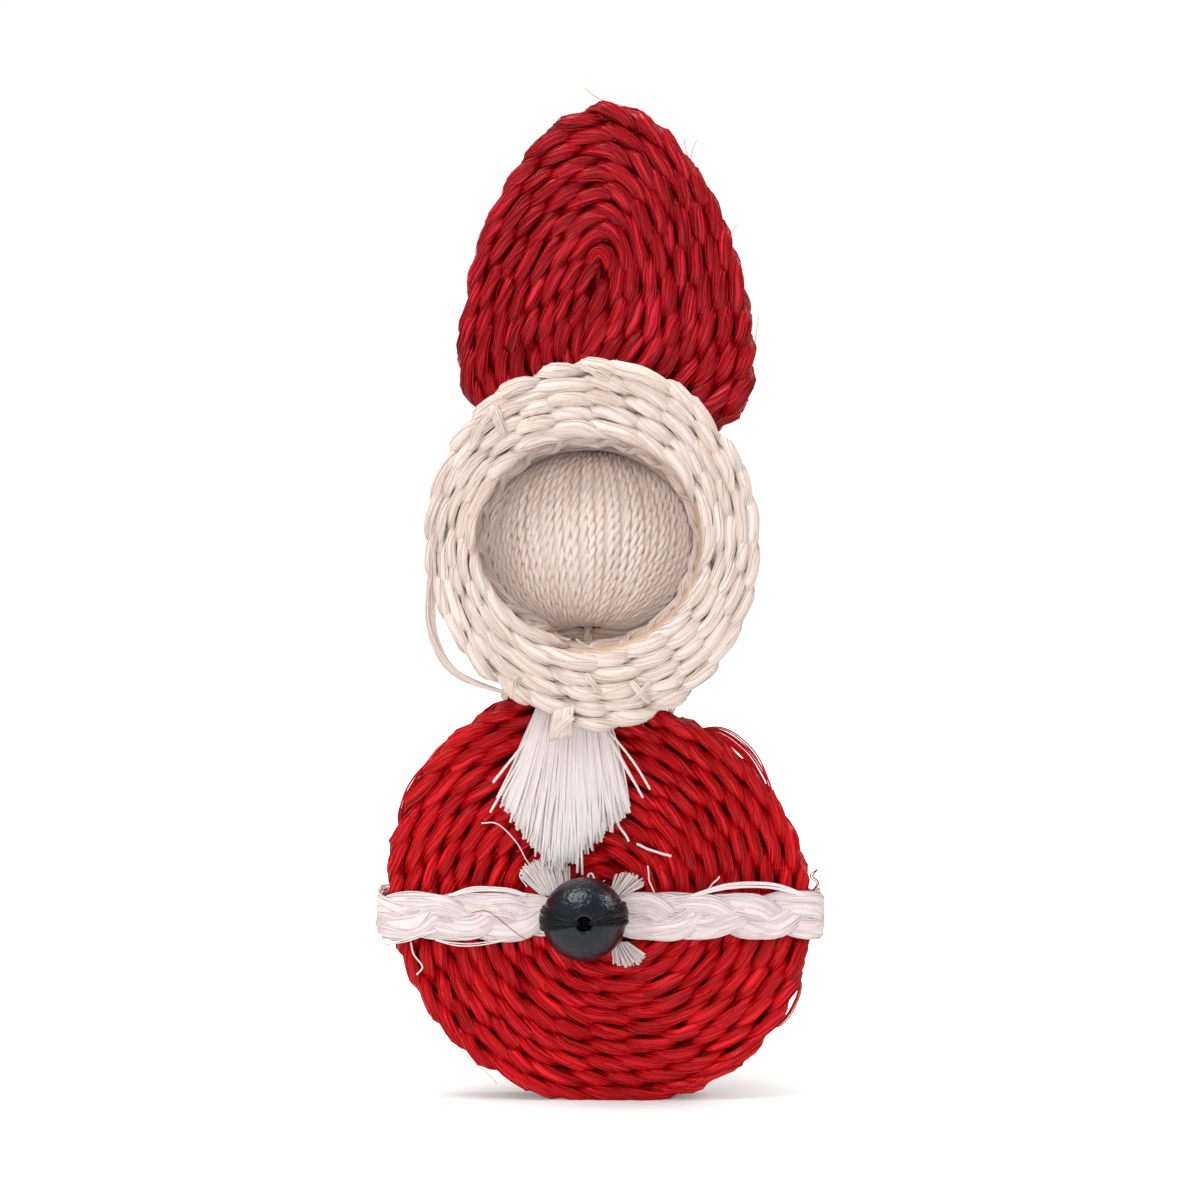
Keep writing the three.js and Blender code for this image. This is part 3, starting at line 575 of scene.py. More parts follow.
# %% Line of the head ring
RING_TURNS = 5
RING_END = 189
RING_TIP = math.radians(2.4)
RING_HALF_WIDTH, RING_HALF_HEIGHT = 22.75 * MM, 24.95 * MM
ROOM_BESIDE_BALL, ROOM_OVER_BALL = 2.3 * MM, 2.35 * MM
BALL_RADIUS = 16 * MM
BALL_POLE = 14.6 * MM
BALL_BEHIND_RING = 9.06 * MM


def tip_forward(points):
    """Rotation about the x axis that brings what lies low to the front."""
    cosine, sine = math.cos(-RING_TIP), math.sin(-RING_TIP)
    y = points[:, 1] * cosine - points[:, 2] * sine
    z = points[:, 1] * sine + points[:, 2] * cosine
    return np.stack([points[:, 0], y, z], -1)


section = math.sqrt(1 - (BALL_BEHIND_RING / BALL_RADIUS) ** 2)
ring_eye = oval(
    BALL_RADIUS * section + ROOM_BESIDE_BALL, BALL_POLE * section + ROOM_OVER_BALL, -0.45 * MM, 0.1 * MM
)
RING = coil_line(ring_eye, oval(RING_HALF_WIDTH, RING_HALF_HEIGHT), RING_TURNS, RING_END, 0.67, 1.0 * MM)
ring_edges = np.concatenate([upright(RING["edges"]), upright(RING["edges"], -STRIP_DEPTH)])
ring_shift = fit_to_box(tip_forward(ring_edges), "head_coil")
ring_line = tip_forward(upright(RING["flat"], -STRIP_DEPTH / 2)) + ring_shift
ring_across = tip_forward(np.array([[0.0, 1.0, 0.0]]))[0]
ring_out = tip_forward(outward(RING["flat"]))
print(f"ring plait: {RING['length']:.2f} m long")

# %% [markdown]
# The inner turns press against the ball. A point of a strand that would lie inside it moves straight
# away from the axis that runs through ball and ring, until it lies on a slightly larger ball. That is
# one division for a whole array, where a collision test would take a loop. The plait's start lies 3 mm
# further back and comes forward in its first 14 mm.

# %% Strands of the head ring
RING_PERIOD = 22 * MM
START_BACK, START_LENGTH = 3.0 * MM, 14 * MM
STRAND_OFF_BALL, FILLER_OFF_BALL = 0.75 * MM, 1.3 * MM
ball_middle = middle("face_winding")


def off_the_ball(paths, clearance):
    """Points inside the ball plus a clearance move straight away from its y axis onto that skin."""
    reach = np.array([BALL_RADIUS, BALL_RADIUS, BALL_POLE]) + clearance
    x, y, z = np.moveaxis((paths - ball_middle) / reach, -1, 0)
    room = np.sqrt(np.maximum(1 - y**2, 0))
    push = np.maximum(room / np.maximum(np.hypot(x, z), 1e-9), 1)
    moved = paths - ball_middle
    moved[..., 0] *= push
    moved[..., 2] *= push
    return moved + ball_middle


ring_pitch = RING["pitch"]
ring_flare = (2.0 - 0.4 * (1 - RING["share"]) ** 2) * MM
ring_paths, ring_faces = plait_paths(
    ring_line, ring_out, ring_across, 4, RING_PERIOD, swing_for(0.42 * MM), 0.23 * ring_pitch, 50, ring_flare
)
ring_start = np.clip(1 - travelled(ring_line[None])[0] / START_LENGTH, 0, 1) ** 2
ring_paths = off_the_ball(ring_paths + START_BACK * ring_start[:, None] * ring_across, STRAND_OFF_BALL)
ring_sizes = 0.27 * ring_pitch, 0.5 * ring_pitch
add_plait("ring", (ring_paths, ring_faces), *ring_sizes, 8, CREAM, "cream_fibre", ["head_coil"], 300)

ring_face = ring_out + ring_across * (ring_flare / STRIP_DEPTH)[:, None]
first_turn = np.clip(1.2 - RING["share"] * RING_TURNS, 0, 1)
ring_core = ring_line + 0.5 * MM * ring_across + ring_out * (0.3 * ring_pitch * first_turn)[:, None]
ring_inside = filler(off_the_ball(ring_core, FILLER_OFF_BALL), ring_face, RING, RING_TURNS, 2.4 * MM)

# %% [markdown]
# Under the ball the plait's start is tucked in: its strands follow the ball's lower side and close
# the gap between ball and ring. They are three flat ribbons along arcs of the ball's own oval, a
# little larger than the ball, one behind the other. A fourth goes all the way round, and a short one
# in the darker inner cream, painted shade, lies under the mouth of the bore.

# %% Strands tucked in under the ball
ARC_POINTS = 44
TUCKED_THIN, TUCKED_WIDE = 0.5 * MM, 1.25 * MM


def tucked(behind, clearance, first, last, seed):
    """Ribbon along an arc of the ball's oval section at a depth before the ball's middle; the angle
    runs clockwise from the top, in degrees."""
    angle = np.radians(np.linspace(first, last, ARC_POINTS))
    reach = np.array([BALL_RADIUS, BALL_POLE]) + clearance
    room = math.sqrt(1 - (behind / reach[0]) ** 2)
    x, z = reach[0] * room * np.sin(angle), reach[1] * room * np.cos(angle)
    path = np.stack([x, np.full(ARC_POINTS, -behind), z], -1) + ball_middle
    return strand(path, np.broadcast_to(FRONT, path.shape), TUCKED_THIN, TUCKED_WIDE, 8, seed)


under_mouth = tucked(3.0 * MM, -0.2 * MM, 154, 206, 374)
# The ring's filler and the ribbon under the bore's mouth are in the darker inner cream: painted shade.
add_piece("ring_inside", join([ring_inside, under_mouth]), CREAM_SHADE)
tucked_in = join([
    tucked(5.0 * MM, 1.2 * MM, -170, 190, 373),
    tucked(4.4 * MM, 1.0 * MM, 78, 282, 370),
    tucked(3.4 * MM, 1.9 * MM, 92, 268, 371),
    tucked(5.2 * MM, 1.5 * MM, 118, 262, 372),
])
add_piece("ring_tucked_start", tucked_in, CREAM)

# %% [markdown]
# The ball is wound with two-ply thread, laid side by side from the mouth of the bore at the top to
# the one below, about eighty times round. Each ply is a helix about the thread's line on the ball.
# Near the poles there is less room, so the thread is drawn thinner and packed deeper, which makes
# the dimple. The twist has to be real geometry: it is what the eye reads as thread.

# %% Thread on the ball
THREADS = 80
PLY_THIN, PLY_WIDE, PLY_REACH, PLY_TWIST = 0.4 * MM, 0.42 * MM, 0.28 * MM, 4.4 * MM
NOD = math.radians(15)
DIMPLE_DEPTH, DIMPLE_REACH = 1.9 * MM, 3.6 * MM
THREAD_MOUTH, LAYER_MOUTH = math.asin(2.4 / 16), math.asin(2.7 / 16)


def ball_point(polar, azimuth, inset):
    """Point on the dimpled ball, with its pole axis nodded so that the lower pole comes forward. The
    dimple is a bell curve of the distance from that axis."""
    r = (BALL_RADIUS - inset) * np.sin(polar)
    z = (BALL_POLE - inset) * np.cos(polar)
    z = z - np.sign(z) * DIMPLE_DEPTH * np.exp(-((r / DIMPLE_REACH) ** 2))
    x, y = r * np.cos(azimuth), r * np.sin(azimuth)
    cosine, sine = math.cos(-NOD), math.sin(-NOD)
    return np.stack([x, y * cosine - z * sine, y * sine + z * cosine], -1) + ball_middle


def thread_plies(first, last, seed):
    """Threads number first to last, each a pair of plies from mouth to mouth. A ply lies at the
    cosine of the twist above its thread's line and at the sine beside it. The room for a thread is
    the sine of the polar angle to the power 0.6, and its thickness goes with it."""
    rng = np.random.default_rng(seed)
    count = last - first
    polar = np.linspace(THREAD_MOUTH, math.pi - THREAD_MOUTH, 100)[None]
    azimuth = TAU * (np.arange(first, last) + 0.5) / THREADS
    azimuth = azimuth + rng.normal(0, 0.008, count)
    travel = polar * BALL_RADIUS
    sway = 0.009 * wander(travel[0], 20 * MM, count, seed + 1)
    room = np.clip(np.sin(polar), 0.3, 1) ** 0.6
    inset = 0.72 * MM + 0.08 * MM * wander(travel[0], 25 * MM, count, seed + 2) + 0.5 * MM * (1 - room)
    centre = ball_point(polar, azimuth[:, None] + sway, inset)
    along = unit(np.gradient(centre, axis=1))
    lift = unit(centre - ball_middle)
    beside = np.cross(along, lift)
    twist = TAU * travel / (PLY_TWIST * rng.uniform(0.85, 1.2, (count, 1))) + rng.uniform(0, TAU, (count, 1))
    twist = twist + 0.5 * wander(travel[0], 12 * MM, count, seed + 3)
    reach = PLY_REACH * room
    plies = []
    for turn in (twist, twist + math.pi):
        path = centre + (reach * np.cos(turn))[..., None] * lift + (reach * np.sin(turn))[..., None] * beside
        plies.append(sweep(path, lift, PLY_THIN * room, PLY_WIDE * room, 6))
    return join(plies)


def under_layer(rings=48, columns=96):
    """The layer of thread below: the dimpled ball itself 0.8 mm further in, closed by a second skin
    1.1 mm further in."""
    polar = np.linspace(LAYER_MOUTH, math.pi - LAYER_MOUTH, rings)[:, None]
    turn = TAU * np.arange(columns)[None] / columns
    points = np.concatenate([ball_point(polar, turn, 0.8 * MM), ball_point(polar, turn, 1.1 * MM)[::-1]])
    row, side = np.meshgrid(np.arange(2 * rings), np.arange(columns), indexing="ij")
    across = side / columns * 20
    uv = np.stack([across, row * 0.6, across, (row + 1) * 0.6] * 2, -1).reshape(-1, 4, 2)
    return points.reshape(-1, 3), closed_grid(2 * rings, columns)[:, [0, 3, 2, 1]], uv


half_way = THREADS // 2
add_piece("ball_under_layer", under_layer(), THREAD, ["face_winding"])
add_piece("ball_thread_right", thread_plies(0, half_way, 70), THREAD, ["face_winding"])
add_piece("ball_thread_left", thread_plies(half_way, THREADS, 80), THREAD, ["face_winding"])

# %% [markdown]
# Beard bristles are the butt ends of the plant fibre, straight, stiff and cut square. They fan out
# from a flat bunch behind the ring. Rods between a row of roots and a row of tips give that fan; the
# tips lie on a blunt V, with seeded differences on top. A few strays are placed one by one.

# %% Beard
BEARD_BRISTLES, BEARD_RADIUS = 620, 0.18 * MM
BRISTLE_FACE = np.array([0.3, -1.0, 0.1])
beard_low, beard_high = box("beard_bristles")
beard_y = (beard_low[1] + beard_high[1]) / 2
beard_depth = beard_high[1] - beard_low[1]


def straight_rods(starts, ends, radius, seed, bow=0.02):
    """Rods between pairs of points, each bowed sideways by a small share of its length."""
    rng = np.random.default_rng(seed)
    step = np.linspace(0, 1, 9)[None, :, None]
    starts, ends = np.array(starts, float)[:, None], np.array(ends, float)[:, None]
    paths = starts + (ends - starts) * step
    length = np.linalg.norm(ends - starts, axis=-1)
    paths[..., 0] += rng.normal(0, bow, (len(paths), 1)) * length * np.sin(math.pi * step[..., 0])
    size = radius * rng.uniform(0.85, 1.15, (len(paths), 1))
    return sweep(paths, BRISTLE_FACE, size, size, 6)


def beard_mass(count, seed):
    """Bristles from root to tip. Across runs from -1 to 1; the tips lie along a blunt V whose lowest
    point is a little left of the middle, and the left side leans out more than the right."""
    rng = np.random.default_rng(seed)
    across = np.linspace(-1, 1, count) + rng.normal(0, 0.04, count)
    layer = rng.uniform(-0.42, 0.42, count) * beard_depth
    root_z = np.full(count, beard_high[2] - 1 * MM)
    root = np.stack([-4.1 * MM + 4.4 * MM * across, beard_y + layer, root_z], -1)
    beside = across + 0.14
    rise = np.where(beside < 0, 11.5 * MM, 7.4 * MM) * np.abs(beside) ** 1.15
    tip_x = (-5.0 + 9.0 * across + rng.normal(0, 0.3, count)) * MM
    tip_z = 34.3 * MM + rise + rng.normal(0, 0.7, count) * MM
    tip_y = beard_y + 1.1 * layer - rng.uniform(0, 0.5, count) * MM
    return straight_rods(root, np.stack([tip_x, tip_y, tip_z], -1), BEARD_RADIUS, seed + 1)


# Strays in millimetres: x and z of the root, then x and z of the tip.
STRAYS = [
    (-9.3, 53.8, -15.3, 46.4), (-8.9, 53.8, -15.7, 42.1), (1.2, 53.8, 7.2, 45.4), (0.9, 53.8, 6.2, 44.2),
    (0.7, 53.8, 5.2, 46.0), (-4.3, 52.0, -3.2, 33.4), (-4.0, 52.0, -2.5, 33.1), (-8.8, 53.8, -13.9, 44.0),
]
stray_roots = [(x * MM, beard_low[1] + 0.3 * MM, z * MM) for x, z, _, _ in STRAYS]
stray_tips = [(x * MM, beard_low[1] - 0.1 * MM, z * MM) for _, _, x, z in STRAYS]
strays = straight_rods(stray_roots, stray_tips, 0.19 * MM, 95)
add_piece("beard", join([beard_mass(BEARD_BRISTLES, 90), strays]), WHITE, ["beard_bristles"])

# %% [markdown]
# The belt is a looser plait of white fibre that lies flat on the body, goes round both edges and
# meets itself under the bead. Its line is the CAD band's: a rounded rectangle in plan. The same plait
# function makes it, with the swing now up and down and the over-and-under away from the body.

# %% Belt
BELT_THICK = 2.1 * MM
BELT_CORNER = 2.3 * MM
BELT_RAISED = 0.35 * MM
BELT_PERIOD, BELT_SWING, BELT_CROSS = 25 * MM, 1.72 * MM, 0.34 * MM
BELT_THIN, BELT_WIDE = 0.42 * MM, 1.62 * MM
belt_low, belt_high = box("belt_braid")
bead_middle = middle("button_bead")


def corner_arc(x, y, quarters):
    """Quarter circle in plan about a centre, clockwise from a direction given in quarter turns."""
    angle = math.pi / 2 * quarters - np.linspace(0, math.pi / 2, 8)
    return np.stack([x + BELT_CORNER * np.cos(angle), y + BELT_CORNER * np.sin(angle)], -1)


def belt_line(spacing, ends_gap):
    """Plan of the belt as a polyline with round corners, resampled to an even spacing."""
    front = belt_low[1] + BELT_THICK / 2
    left, right = belt_low[0] + BELT_THICK / 2 + BELT_CORNER, belt_high[0] - BELT_THICK / 2 - BELT_CORNER
    near, far = front + BELT_CORNER, belt_high[1] - BELT_THICK / 2 - BELT_CORNER
    plan = np.concatenate([
        [[bead_middle[0] - ends_gap / 2, front]],
        corner_arc(left, near, 3),
        corner_arc(left, far, 2),
        corner_arc(right, far, 1),
        corner_arc(right, near, 0),
        [[bead_middle[0] + ends_gap / 2, front]],
    ])
    travel = travelled(plan[None])[0]
    even = np.linspace(0, travel[-1], int(travel[-1] / spacing))
    x, y = (np.interp(even, travel, plan[:, i]) for i in range(2))
    return np.stack([x, y, np.full(len(even), (belt_low[2] + belt_high[2]) / 2 + BELT_RAISED)], -1)


belt_path = belt_line(0.8 * MM, 2.4 * MM)
belt_out = np.cross(unit(np.gradient(belt_path, axis=0)), UP)
belt_out *= np.sign((belt_out * (belt_path - middle("belt_braid"))).sum(-1, keepdims=True))
belt_up = np.broadcast_to(UP, belt_path.shape)
belt_plait = plait_paths(
    belt_path, belt_out, belt_up, 3, BELT_PERIOD, BELT_SWING, BELT_CROSS, 110, folded=False
)
add_plait("belt", belt_plait, BELT_THIN, BELT_WIDE, 18, BELT_WHITE, "white_fibre", ["belt_braid"], 400)

# %% [markdown]
# Past the bead the belt's strands end in frayed tufts. A tuft is a flat bunch too, but finer and
# softer than the beard: every fibre's lean grows with its distance from the middle, its length falls
# off towards the sides, and it bends with the square of the way.

# %% Frayed ends of the belt
def bristles(root, width, depth, count, length, fan, radius, seed, up, lean):
    """Fine tubes from a flat bunch. Across runs from -1 to 1 and gives each tube its root, its lean
    (the fan's angle times across, less near the middle) and its length (shorter at the sides)."""
    rng = np.random.default_rng(seed)
    across = np.linspace(-1, 1, count) + rng.normal(0, 0.05, count)
    layer = rng.uniform(-1, 1, count)
    angle = lean + fan * across * (0.45 + 0.55 * np.abs(across)) + rng.normal(0, 0.03, count)
    reach = length * (1 - 0.2 * across**2) * (1 + rng.normal(0, 0.055, count))
    step = np.linspace(0, 1, 9)[None]
    bend = rng.normal(0, 0.035, count)[:, None] * step**2
    x = root[0] + (across * width / 2)[:, None] + reach[:, None] * step * np.sin(angle)[:, None]
    x = x + bend * reach[:, None]
    forward = np.abs(rng.normal(0, 0.04, count))[:, None] * reach[:, None] * step**2
    y = root[1] + (layer * depth / 2)[:, None] - forward
    z = root[2] + up * reach[:, None] * step * np.cos(angle)[:, None]
    size = (radius * rng.uniform(0.75, 1.2, count))[:, None]
    return sweep(np.stack([x, y, z], -1), BRISTLE_FACE, size, size, 6)


def tuft(name, count, length, lean, fan, up, width, aside, seed):
    """Frayed end of a belt strand: fine bristles from a flat root at the foot of the CAD tuft's box,
    moved aside towards the bead. Lengths are in millimetres and angles in degrees."""
    low, high = box(name)
    root_z = low[2] if up > 0 else high[2]
    root = [(low[0] + high[0]) / 2 + aside * MM, (low[1] + high[1]) / 2, root_z - up * 0.6 * MM]
    lean, fan = math.radians(lean), math.radians(fan)
    return bristles(root, width * MM, 1.3 * MM, count, length * MM, fan, 0.11 * MM, seed, up, lean)


tufts = [
    ("belt_tuft_upper_left", 130, 5.4, -24, 24, 1.0, 3.8, 1.5, 120),
    ("belt_tuft_upper_right", 60, 3.8, 40, 24, 1.0, 2.0, -1.3, 121),
    ("belt_tuft_lower_right", 46, 3.8, 30, 26, -1.0, 2.2, -1.3, 122),
]
for name, *numbers in tufts:
    add_piece(name.replace("tuft", "fray"), tuft(name, *numbers), BELT_WHITE, [name])

# %% [markdown]
# The button is a painted wooden bead. The CAD bead has the right shape but flat facets, so a finer
# surface of revolution about its bore takes its place. The paint is thick and uneven: a fine bump
# breaks the highlight up, and the gloss changes from patch to patch.

# %% Bead
BEAD_RADIUS, BEAD_BORE = 6 * MM, 1.15 * MM


def paint():
    """Black gloss: one noise chooses the colour and a roughness from 0.1 to 0.34, a finer one lifts
    the grain."""
    material, tree, shader = principled("black gloss paint", specular=0.42)
    place = node(tree, "ShaderNodeTexCoord").outputs["Object"]
    patches = noise(tree, place, 420, 3)
    colour = ramp(tree, patches, [(0.35, (0.003, 0.005, 0.009)), (0.65, (0.007, 0.011, 0.019))])
    gloss = node(tree, "ShaderNodeMapRange")
    gloss.inputs["To Min"].default_value = 0.1
    gloss.inputs["To Max"].default_value = 0.34
    tree.links.new(patches, gloss.inputs["Value"])
    tree.links.new(colour, shader.inputs["Base Color"])
    tree.links.new(gloss.outputs["Result"], shader.inputs["Roughness"])
    bump(tree, noise(tree, place, 1500, 3), 0.9, 0.2 * MM, shader)
    return material


def bead_shape(radius, bore, rings=40, columns=64):
    """Surface of revolution about the bore: a round profile from mouth to mouth, then back along
    the bore's wall, closed on itself. The profile's radius and height are turned about the y axis."""
    first = math.asin(bore / radius)
    polar = np.linspace(first, math.pi - first, rings)
    r = np.concatenate([radius * np.sin(polar), np.full(6, bore)])
    y = -radius * np.cos(polar)
    y = np.concatenate([y, np.linspace(y[-1], y[0], 8)[1:-1]])[:, None]
    turn = TAU * np.arange(columns) / columns
    points = np.stack([np.outer(r, np.cos(turn)), np.repeat(y, columns, 1), np.outer(r, np.sin(turn))], -1)
    quads = closed_grid(len(r), columns)
    return points.reshape(-1, 3) + bead_middle, quads, np.zeros((len(quads), 4, 2))


add_piece("bead", bead_shape(BEAD_RADIUS, BEAD_BORE), paint(), ["button_bead"])

# %% [markdown]
# Through the bead goes a bundle of black fibre. It comes round the left side, dips into the hole,
# comes out again and leaves round the right side. Each fibre is a path on a sphere just above the
# bead, whose height pinches to nothing at the hole and whose radius drops there.

# %% Button tie
TIE_ANGLE = math.radians(128)
TIE_DIP = 2.2 * MM


def tie_fibres(side, count, low, high, seed):
    """Fibres over one half of the bead: the angle runs from the hole to behind the bead's edge, the
    height from nothing at the hole to each fibre's own place between low and high at the edge."""
    rng = np.random.default_rng(seed)
    step = np.linspace(0, 1, 26)[None]
    angle = side * TIE_ANGLE * step
    height = (rng.uniform(low, high, count) * MM)[:, None] * np.clip(step * 2.2, 0.1, 1)
    height = height + 0.08 * MM * wander(step[0], 0.5, count, seed)
    radius = BEAD_RADIUS + 0.12 * MM + (rng.uniform(0, 0.3, count) * MM)[:, None]
    radius = radius - TIE_DIP * np.exp(-((step / 0.055) ** 2))
    flat = np.sqrt(np.maximum(radius**2 - height**2, 0))
    x = bead_middle[0] + flat * np.sin(angle)
    y = bead_middle[1] - flat * np.cos(angle)
    path = np.stack([x, y, bead_middle[2] + height], -1)
    size = (rng.uniform(0.07, 0.13, count) * MM)[:, None]
    return sweep(path, unit(path - bead_middle), size, size, 6)


def bore_fibres(count, seed):
    """Straight fibres along the bead's bore, spread over its section."""
    rng = np.random.default_rng(seed)
    turn, reach = rng.uniform(0, TAU, count), 0.85 * MM * np.sqrt(rng.uniform(0, 1, count))
    offset = np.stack([reach * np.cos(turn), np.zeros(count), reach * np.sin(turn)], -1)
    front = bead_middle + offset + np.array([0, -4.6 * MM, 0])
    front = front + rng.uniform(-0.3, 0.3, (count, 1)) * MM * FRONT
    return straight_rods(front, bead_middle + offset + np.array([0, 5.6 * MM, 0]), 0.24 * MM, seed)


tie = join([tie_fibres(-1, 34, -1.3, 1.9, 130), tie_fibres(1, 30, -0.6, 2.3, 131), bore_fibres(26, 132)])
add_piece("button_fibre", tie, BLACK, ["button_tie"])

# %% [markdown]
# The sewing is the same cream fibre in small bundles. The stitches on the ring are short, raised and
# slanted. A bundle is a few parallel fibres laid side by side along a smooth path, each a little off
# its neighbour's line. One curve with a thick bevel would look like wire.

# %% Stitches on the ring
def smooth_path(points, count):
    """Catmull-Rom curve through points: each span is the cubic set by its four nearest points."""
    knots = np.array(points, float)
    knots = np.concatenate([[2 * knots[0] - knots[1]], knots, [2 * knots[-1] - knots[-2]]])
    place = np.linspace(0, len(points) - 1, count)
    span = np.minimum(place.astype(int), len(points) - 2)
    t = (place - span)[:, None]
    a, b, c, d = (knots[span + i] for i in range(4))
    return 0.5 * (2 * b + (c - a) * t + (2 * a - 5 * b + 4 * c - d) * t**2 + (3 * b - a - 3 * c + d) * t**3)


def bundle(points, width, count, radius, seed, count_along=22, across=None, arch=0.0, taper=0.15):
    """Parallel fibres along a path: each is shifted sideways by its share of the bundle's width,
    which the taper pinches towards both ends, and the arch lifts the middle ones."""
    rng = np.random.default_rng(seed)
    path = smooth_path(points, count_along)
    along = unit(np.gradient(path, axis=0))
    side = unit(np.cross(along, FRONT)) if across is None else np.broadcast_to(across, path.shape)
    share = np.linspace(-1, 1, count) + rng.normal(0, 0.08, count)
    pinch = 1 - taper * np.abs(np.linspace(-1, 1, count_along)) ** 3
    shift = (share[:, None] * width / 2 * pinch)[..., None] * side
    crown = arch * (1 - share**2)[:, None, None] * np.cross(side, along)
    paths = path[None] + shift + crown
    paths = paths + 0.05 * MM * wander(np.linspace(0, 1, count_along), 0.6, count, seed)[..., None] * side
    size = (radius * rng.uniform(0.8, 1.15, count))[:, None]
    return sweep(paths, side, size, size, 6)


def box_points(name):
    """Low corner, high corner and middle of a CAD node."""
    low, high = box(name)
    return low, high, (low + high) / 2


def front_stitch(name, flip, width, count, seed):
    """A bundle from corner to corner of the CAD stitch's box, raised in the middle."""
    low, high, mid = box_points(name)
    left, right = (low[2], high[2]) if flip else (high[2], low[2])
    start = np.array([low[0], high[1] - 0.3 * MM, left])
    end = np.array([high[0], high[1] - 0.3 * MM, right])
    top = np.array([mid[0], low[1] + 0.2 * MM, mid[2]])
    return bundle([start, top, end], width, count, 0.11 * MM, seed, arch=0.12 * MM)


stitches = [
    ("ring_stitch_top", "head_stitch_top", [(False, 1.0 * MM, 7)], 140),
    ("ring_stitch_upper_left", "head_stitch_upper_left", [(False, 1.1 * MM, 8)], 141),
    ("ring_stitch_low", "head_stitch_bottom_centre", [(False, 0.5 * MM, 3)], 142),
    ("ring_stitch_crossed", "head_stitch_bottom_right", [(False, 0.7 * MM, 5), (True, 0.6 * MM, 4)], 143),
]
for name, cad_name, bundles, seed in stitches:
    shape = join([front_stitch(cad_name, *one, seed + 10 * n) for n, one in enumerate(bundles)])
    add_piece(name, shape, CREAM, [cad_name])

# %% [markdown]
# A broad wrap binds the ring plait's end over the outer turn. It is one wide bundle from the front
# over the edge to the back, and a short narrow one that crosses it. The route's points hang on the
# box of the CAD wrap.

# %% Wrap of the ring
wrap_low, wrap_high, wrap_mid = box_points("head_stitch_wrap")
wrap_route = [
    [wrap_mid[0] + 0.4 * MM, wrap_low[1] + 0.9 * MM, wrap_high[2] + 0.2 * MM],
    [wrap_mid[0] + 0.1 * MM, wrap_low[1] + 0.35 * MM, wrap_mid[2] + 0.8 * MM],
    [wrap_mid[0] - 0.2 * MM, wrap_low[1] + 0.7 * MM, wrap_low[2] + 0.5 * MM],
    [wrap_mid[0] - 0.3 * MM, wrap_mid[1], wrap_low[2] + 0.2 * MM],
    [wrap_mid[0] - 0.3 * MM, wrap_high[1] - 0.3 * MM, wrap_low[2] + 0.5 * MM],
]
crossing_route = [
    wrap_route[1] + np.array([1.5, -0.3, 0.5]) * MM,
    wrap_route[1] + np.array([0.2, -0.45, -0.5]) * MM,
    wrap_route[2] + np.array([-1.2, -0.1, 0.1]) * MM,
]
wrap_side = np.array([0.97, 0, 0.24])
wrap = join([
    bundle(wrap_route, 2.7 * MM, 22, 0.13 * MM, 145, 30, across=wrap_side, arch=0.2 * MM),
    bundle(crossing_route, 1.0 * MM, 9, 0.11 * MM, 146, 16),
])
add_piece("ring_wrap", wrap, CREAM, ["head_stitch_wrap"])

# %% [markdown]
# Behind, two-ply cords hold hat, ring and body together, and one more runs from the hat through the
# ball's bore to the body. They are hidden from the front, so each is the plainest cord that still
# shows its twist: two helices about a smooth path, a sine and a cosine apiece.

# %% Sewing cords
SEWING_RADIUS = 0.55 * MM
HOLDING_RADIUS = 0.7 * MM
pads_y = middle("body_coil")[1]


def twisted(points, radius, twist_start, count_along=70):
    """Two-ply cord: each ply is a helix about the path with the reach of half the cord's radius."""
    path = smooth_path(points, count_along)[None]
    along = unit(np.gradient(path, axis=1))
    side = unit(np.cross(along, np.array([1.0, 0.02, 0.03])))
    other = np.cross(along, side)
    turn = TAU * travelled(path) / (6 * radius)
    plies = []
    for ply in range(2):
        phase = (turn + math.pi * ply + twist_start)[..., None]
        ply_path = path + radius / 2 * (np.cos(phase) * side + np.sin(phase) * other)
        plies.append(sweep(ply_path, side, radius * 0.56, radius * 0.56, 8))
    return join(plies)


def lashing(name, upper):
    """From inside the ring over a pad's edge and along the pad's back, as the CAD cord lies."""
    low, high, mid = box_points(name)
    near, far = (high[2], low[2]) if upper else (low[2], high[2])
    away = 1 if upper else -1
    r = SEWING_RADIUS
    return twisted([
        [mid[0], low[1] - 2.4 * MM, near + away * 1.6 * MM],
        [mid[0], low[1] + 0.1 * MM, near - away * r],
        [mid[0], mid[1], near - away * r],
        [mid[0], high[1] - 1.6 * MM, near - away * 1.1 * MM],
        [mid[0], high[1] - r, near - away * 3 * MM],
        [mid[0], high[1] - r, far],
    ], r, 1.0)


for name in ("hat_lashing_left", "hat_lashing_right", "body_lashing_left", "body_lashing_right"):
    sewing = lashing(name, upper=name.startswith("body"))
    add_piece(name.replace("lashing", "sewing"), sewing, CREAM, [name])

cord_low, cord_high, cord_mid = box_points("face_holding_cord")
cord_back = cord_high[1] - HOLDING_RADIUS
pole = np.array([0, math.sin(NOD), math.cos(NOD)]) * (BALL_POLE - 1 * MM)
body_top = box("body_coil")[1][2]
hat_base = box("hat_coil")[0][2]
cord_route = [
    [cord_mid[0], cord_back, cord_high[2]],
    [cord_mid[0], cord_back, hat_base + 1.2 * MM],
    ball_middle + pole,
    ball_middle,
    ball_middle - pole,
    [cord_mid[0], pads_y - 0.6 * MM, (ball_middle[2] - BALL_POLE + body_top) / 2 + 0.6 * MM],
    [cord_mid[0], cord_back, body_top + 0.4 * MM],
    [cord_mid[0], cord_back, cord_low[2]],
]
holding_cord = twisted(cord_route, HOLDING_RADIUS, 0.5, 160)
add_piece("face_cord", holding_cord, CREAM, ["face_holding_cord"])

# %% [markdown]
# Hand work leaves loose ends. Some fibres of the outer turns stand off as thin loops with daylight
# behind them, and a few belt fibres have come free. Random curves would not fall where the eye
# expects them, so they are placed one by one, as thin bundles along smooth paths.

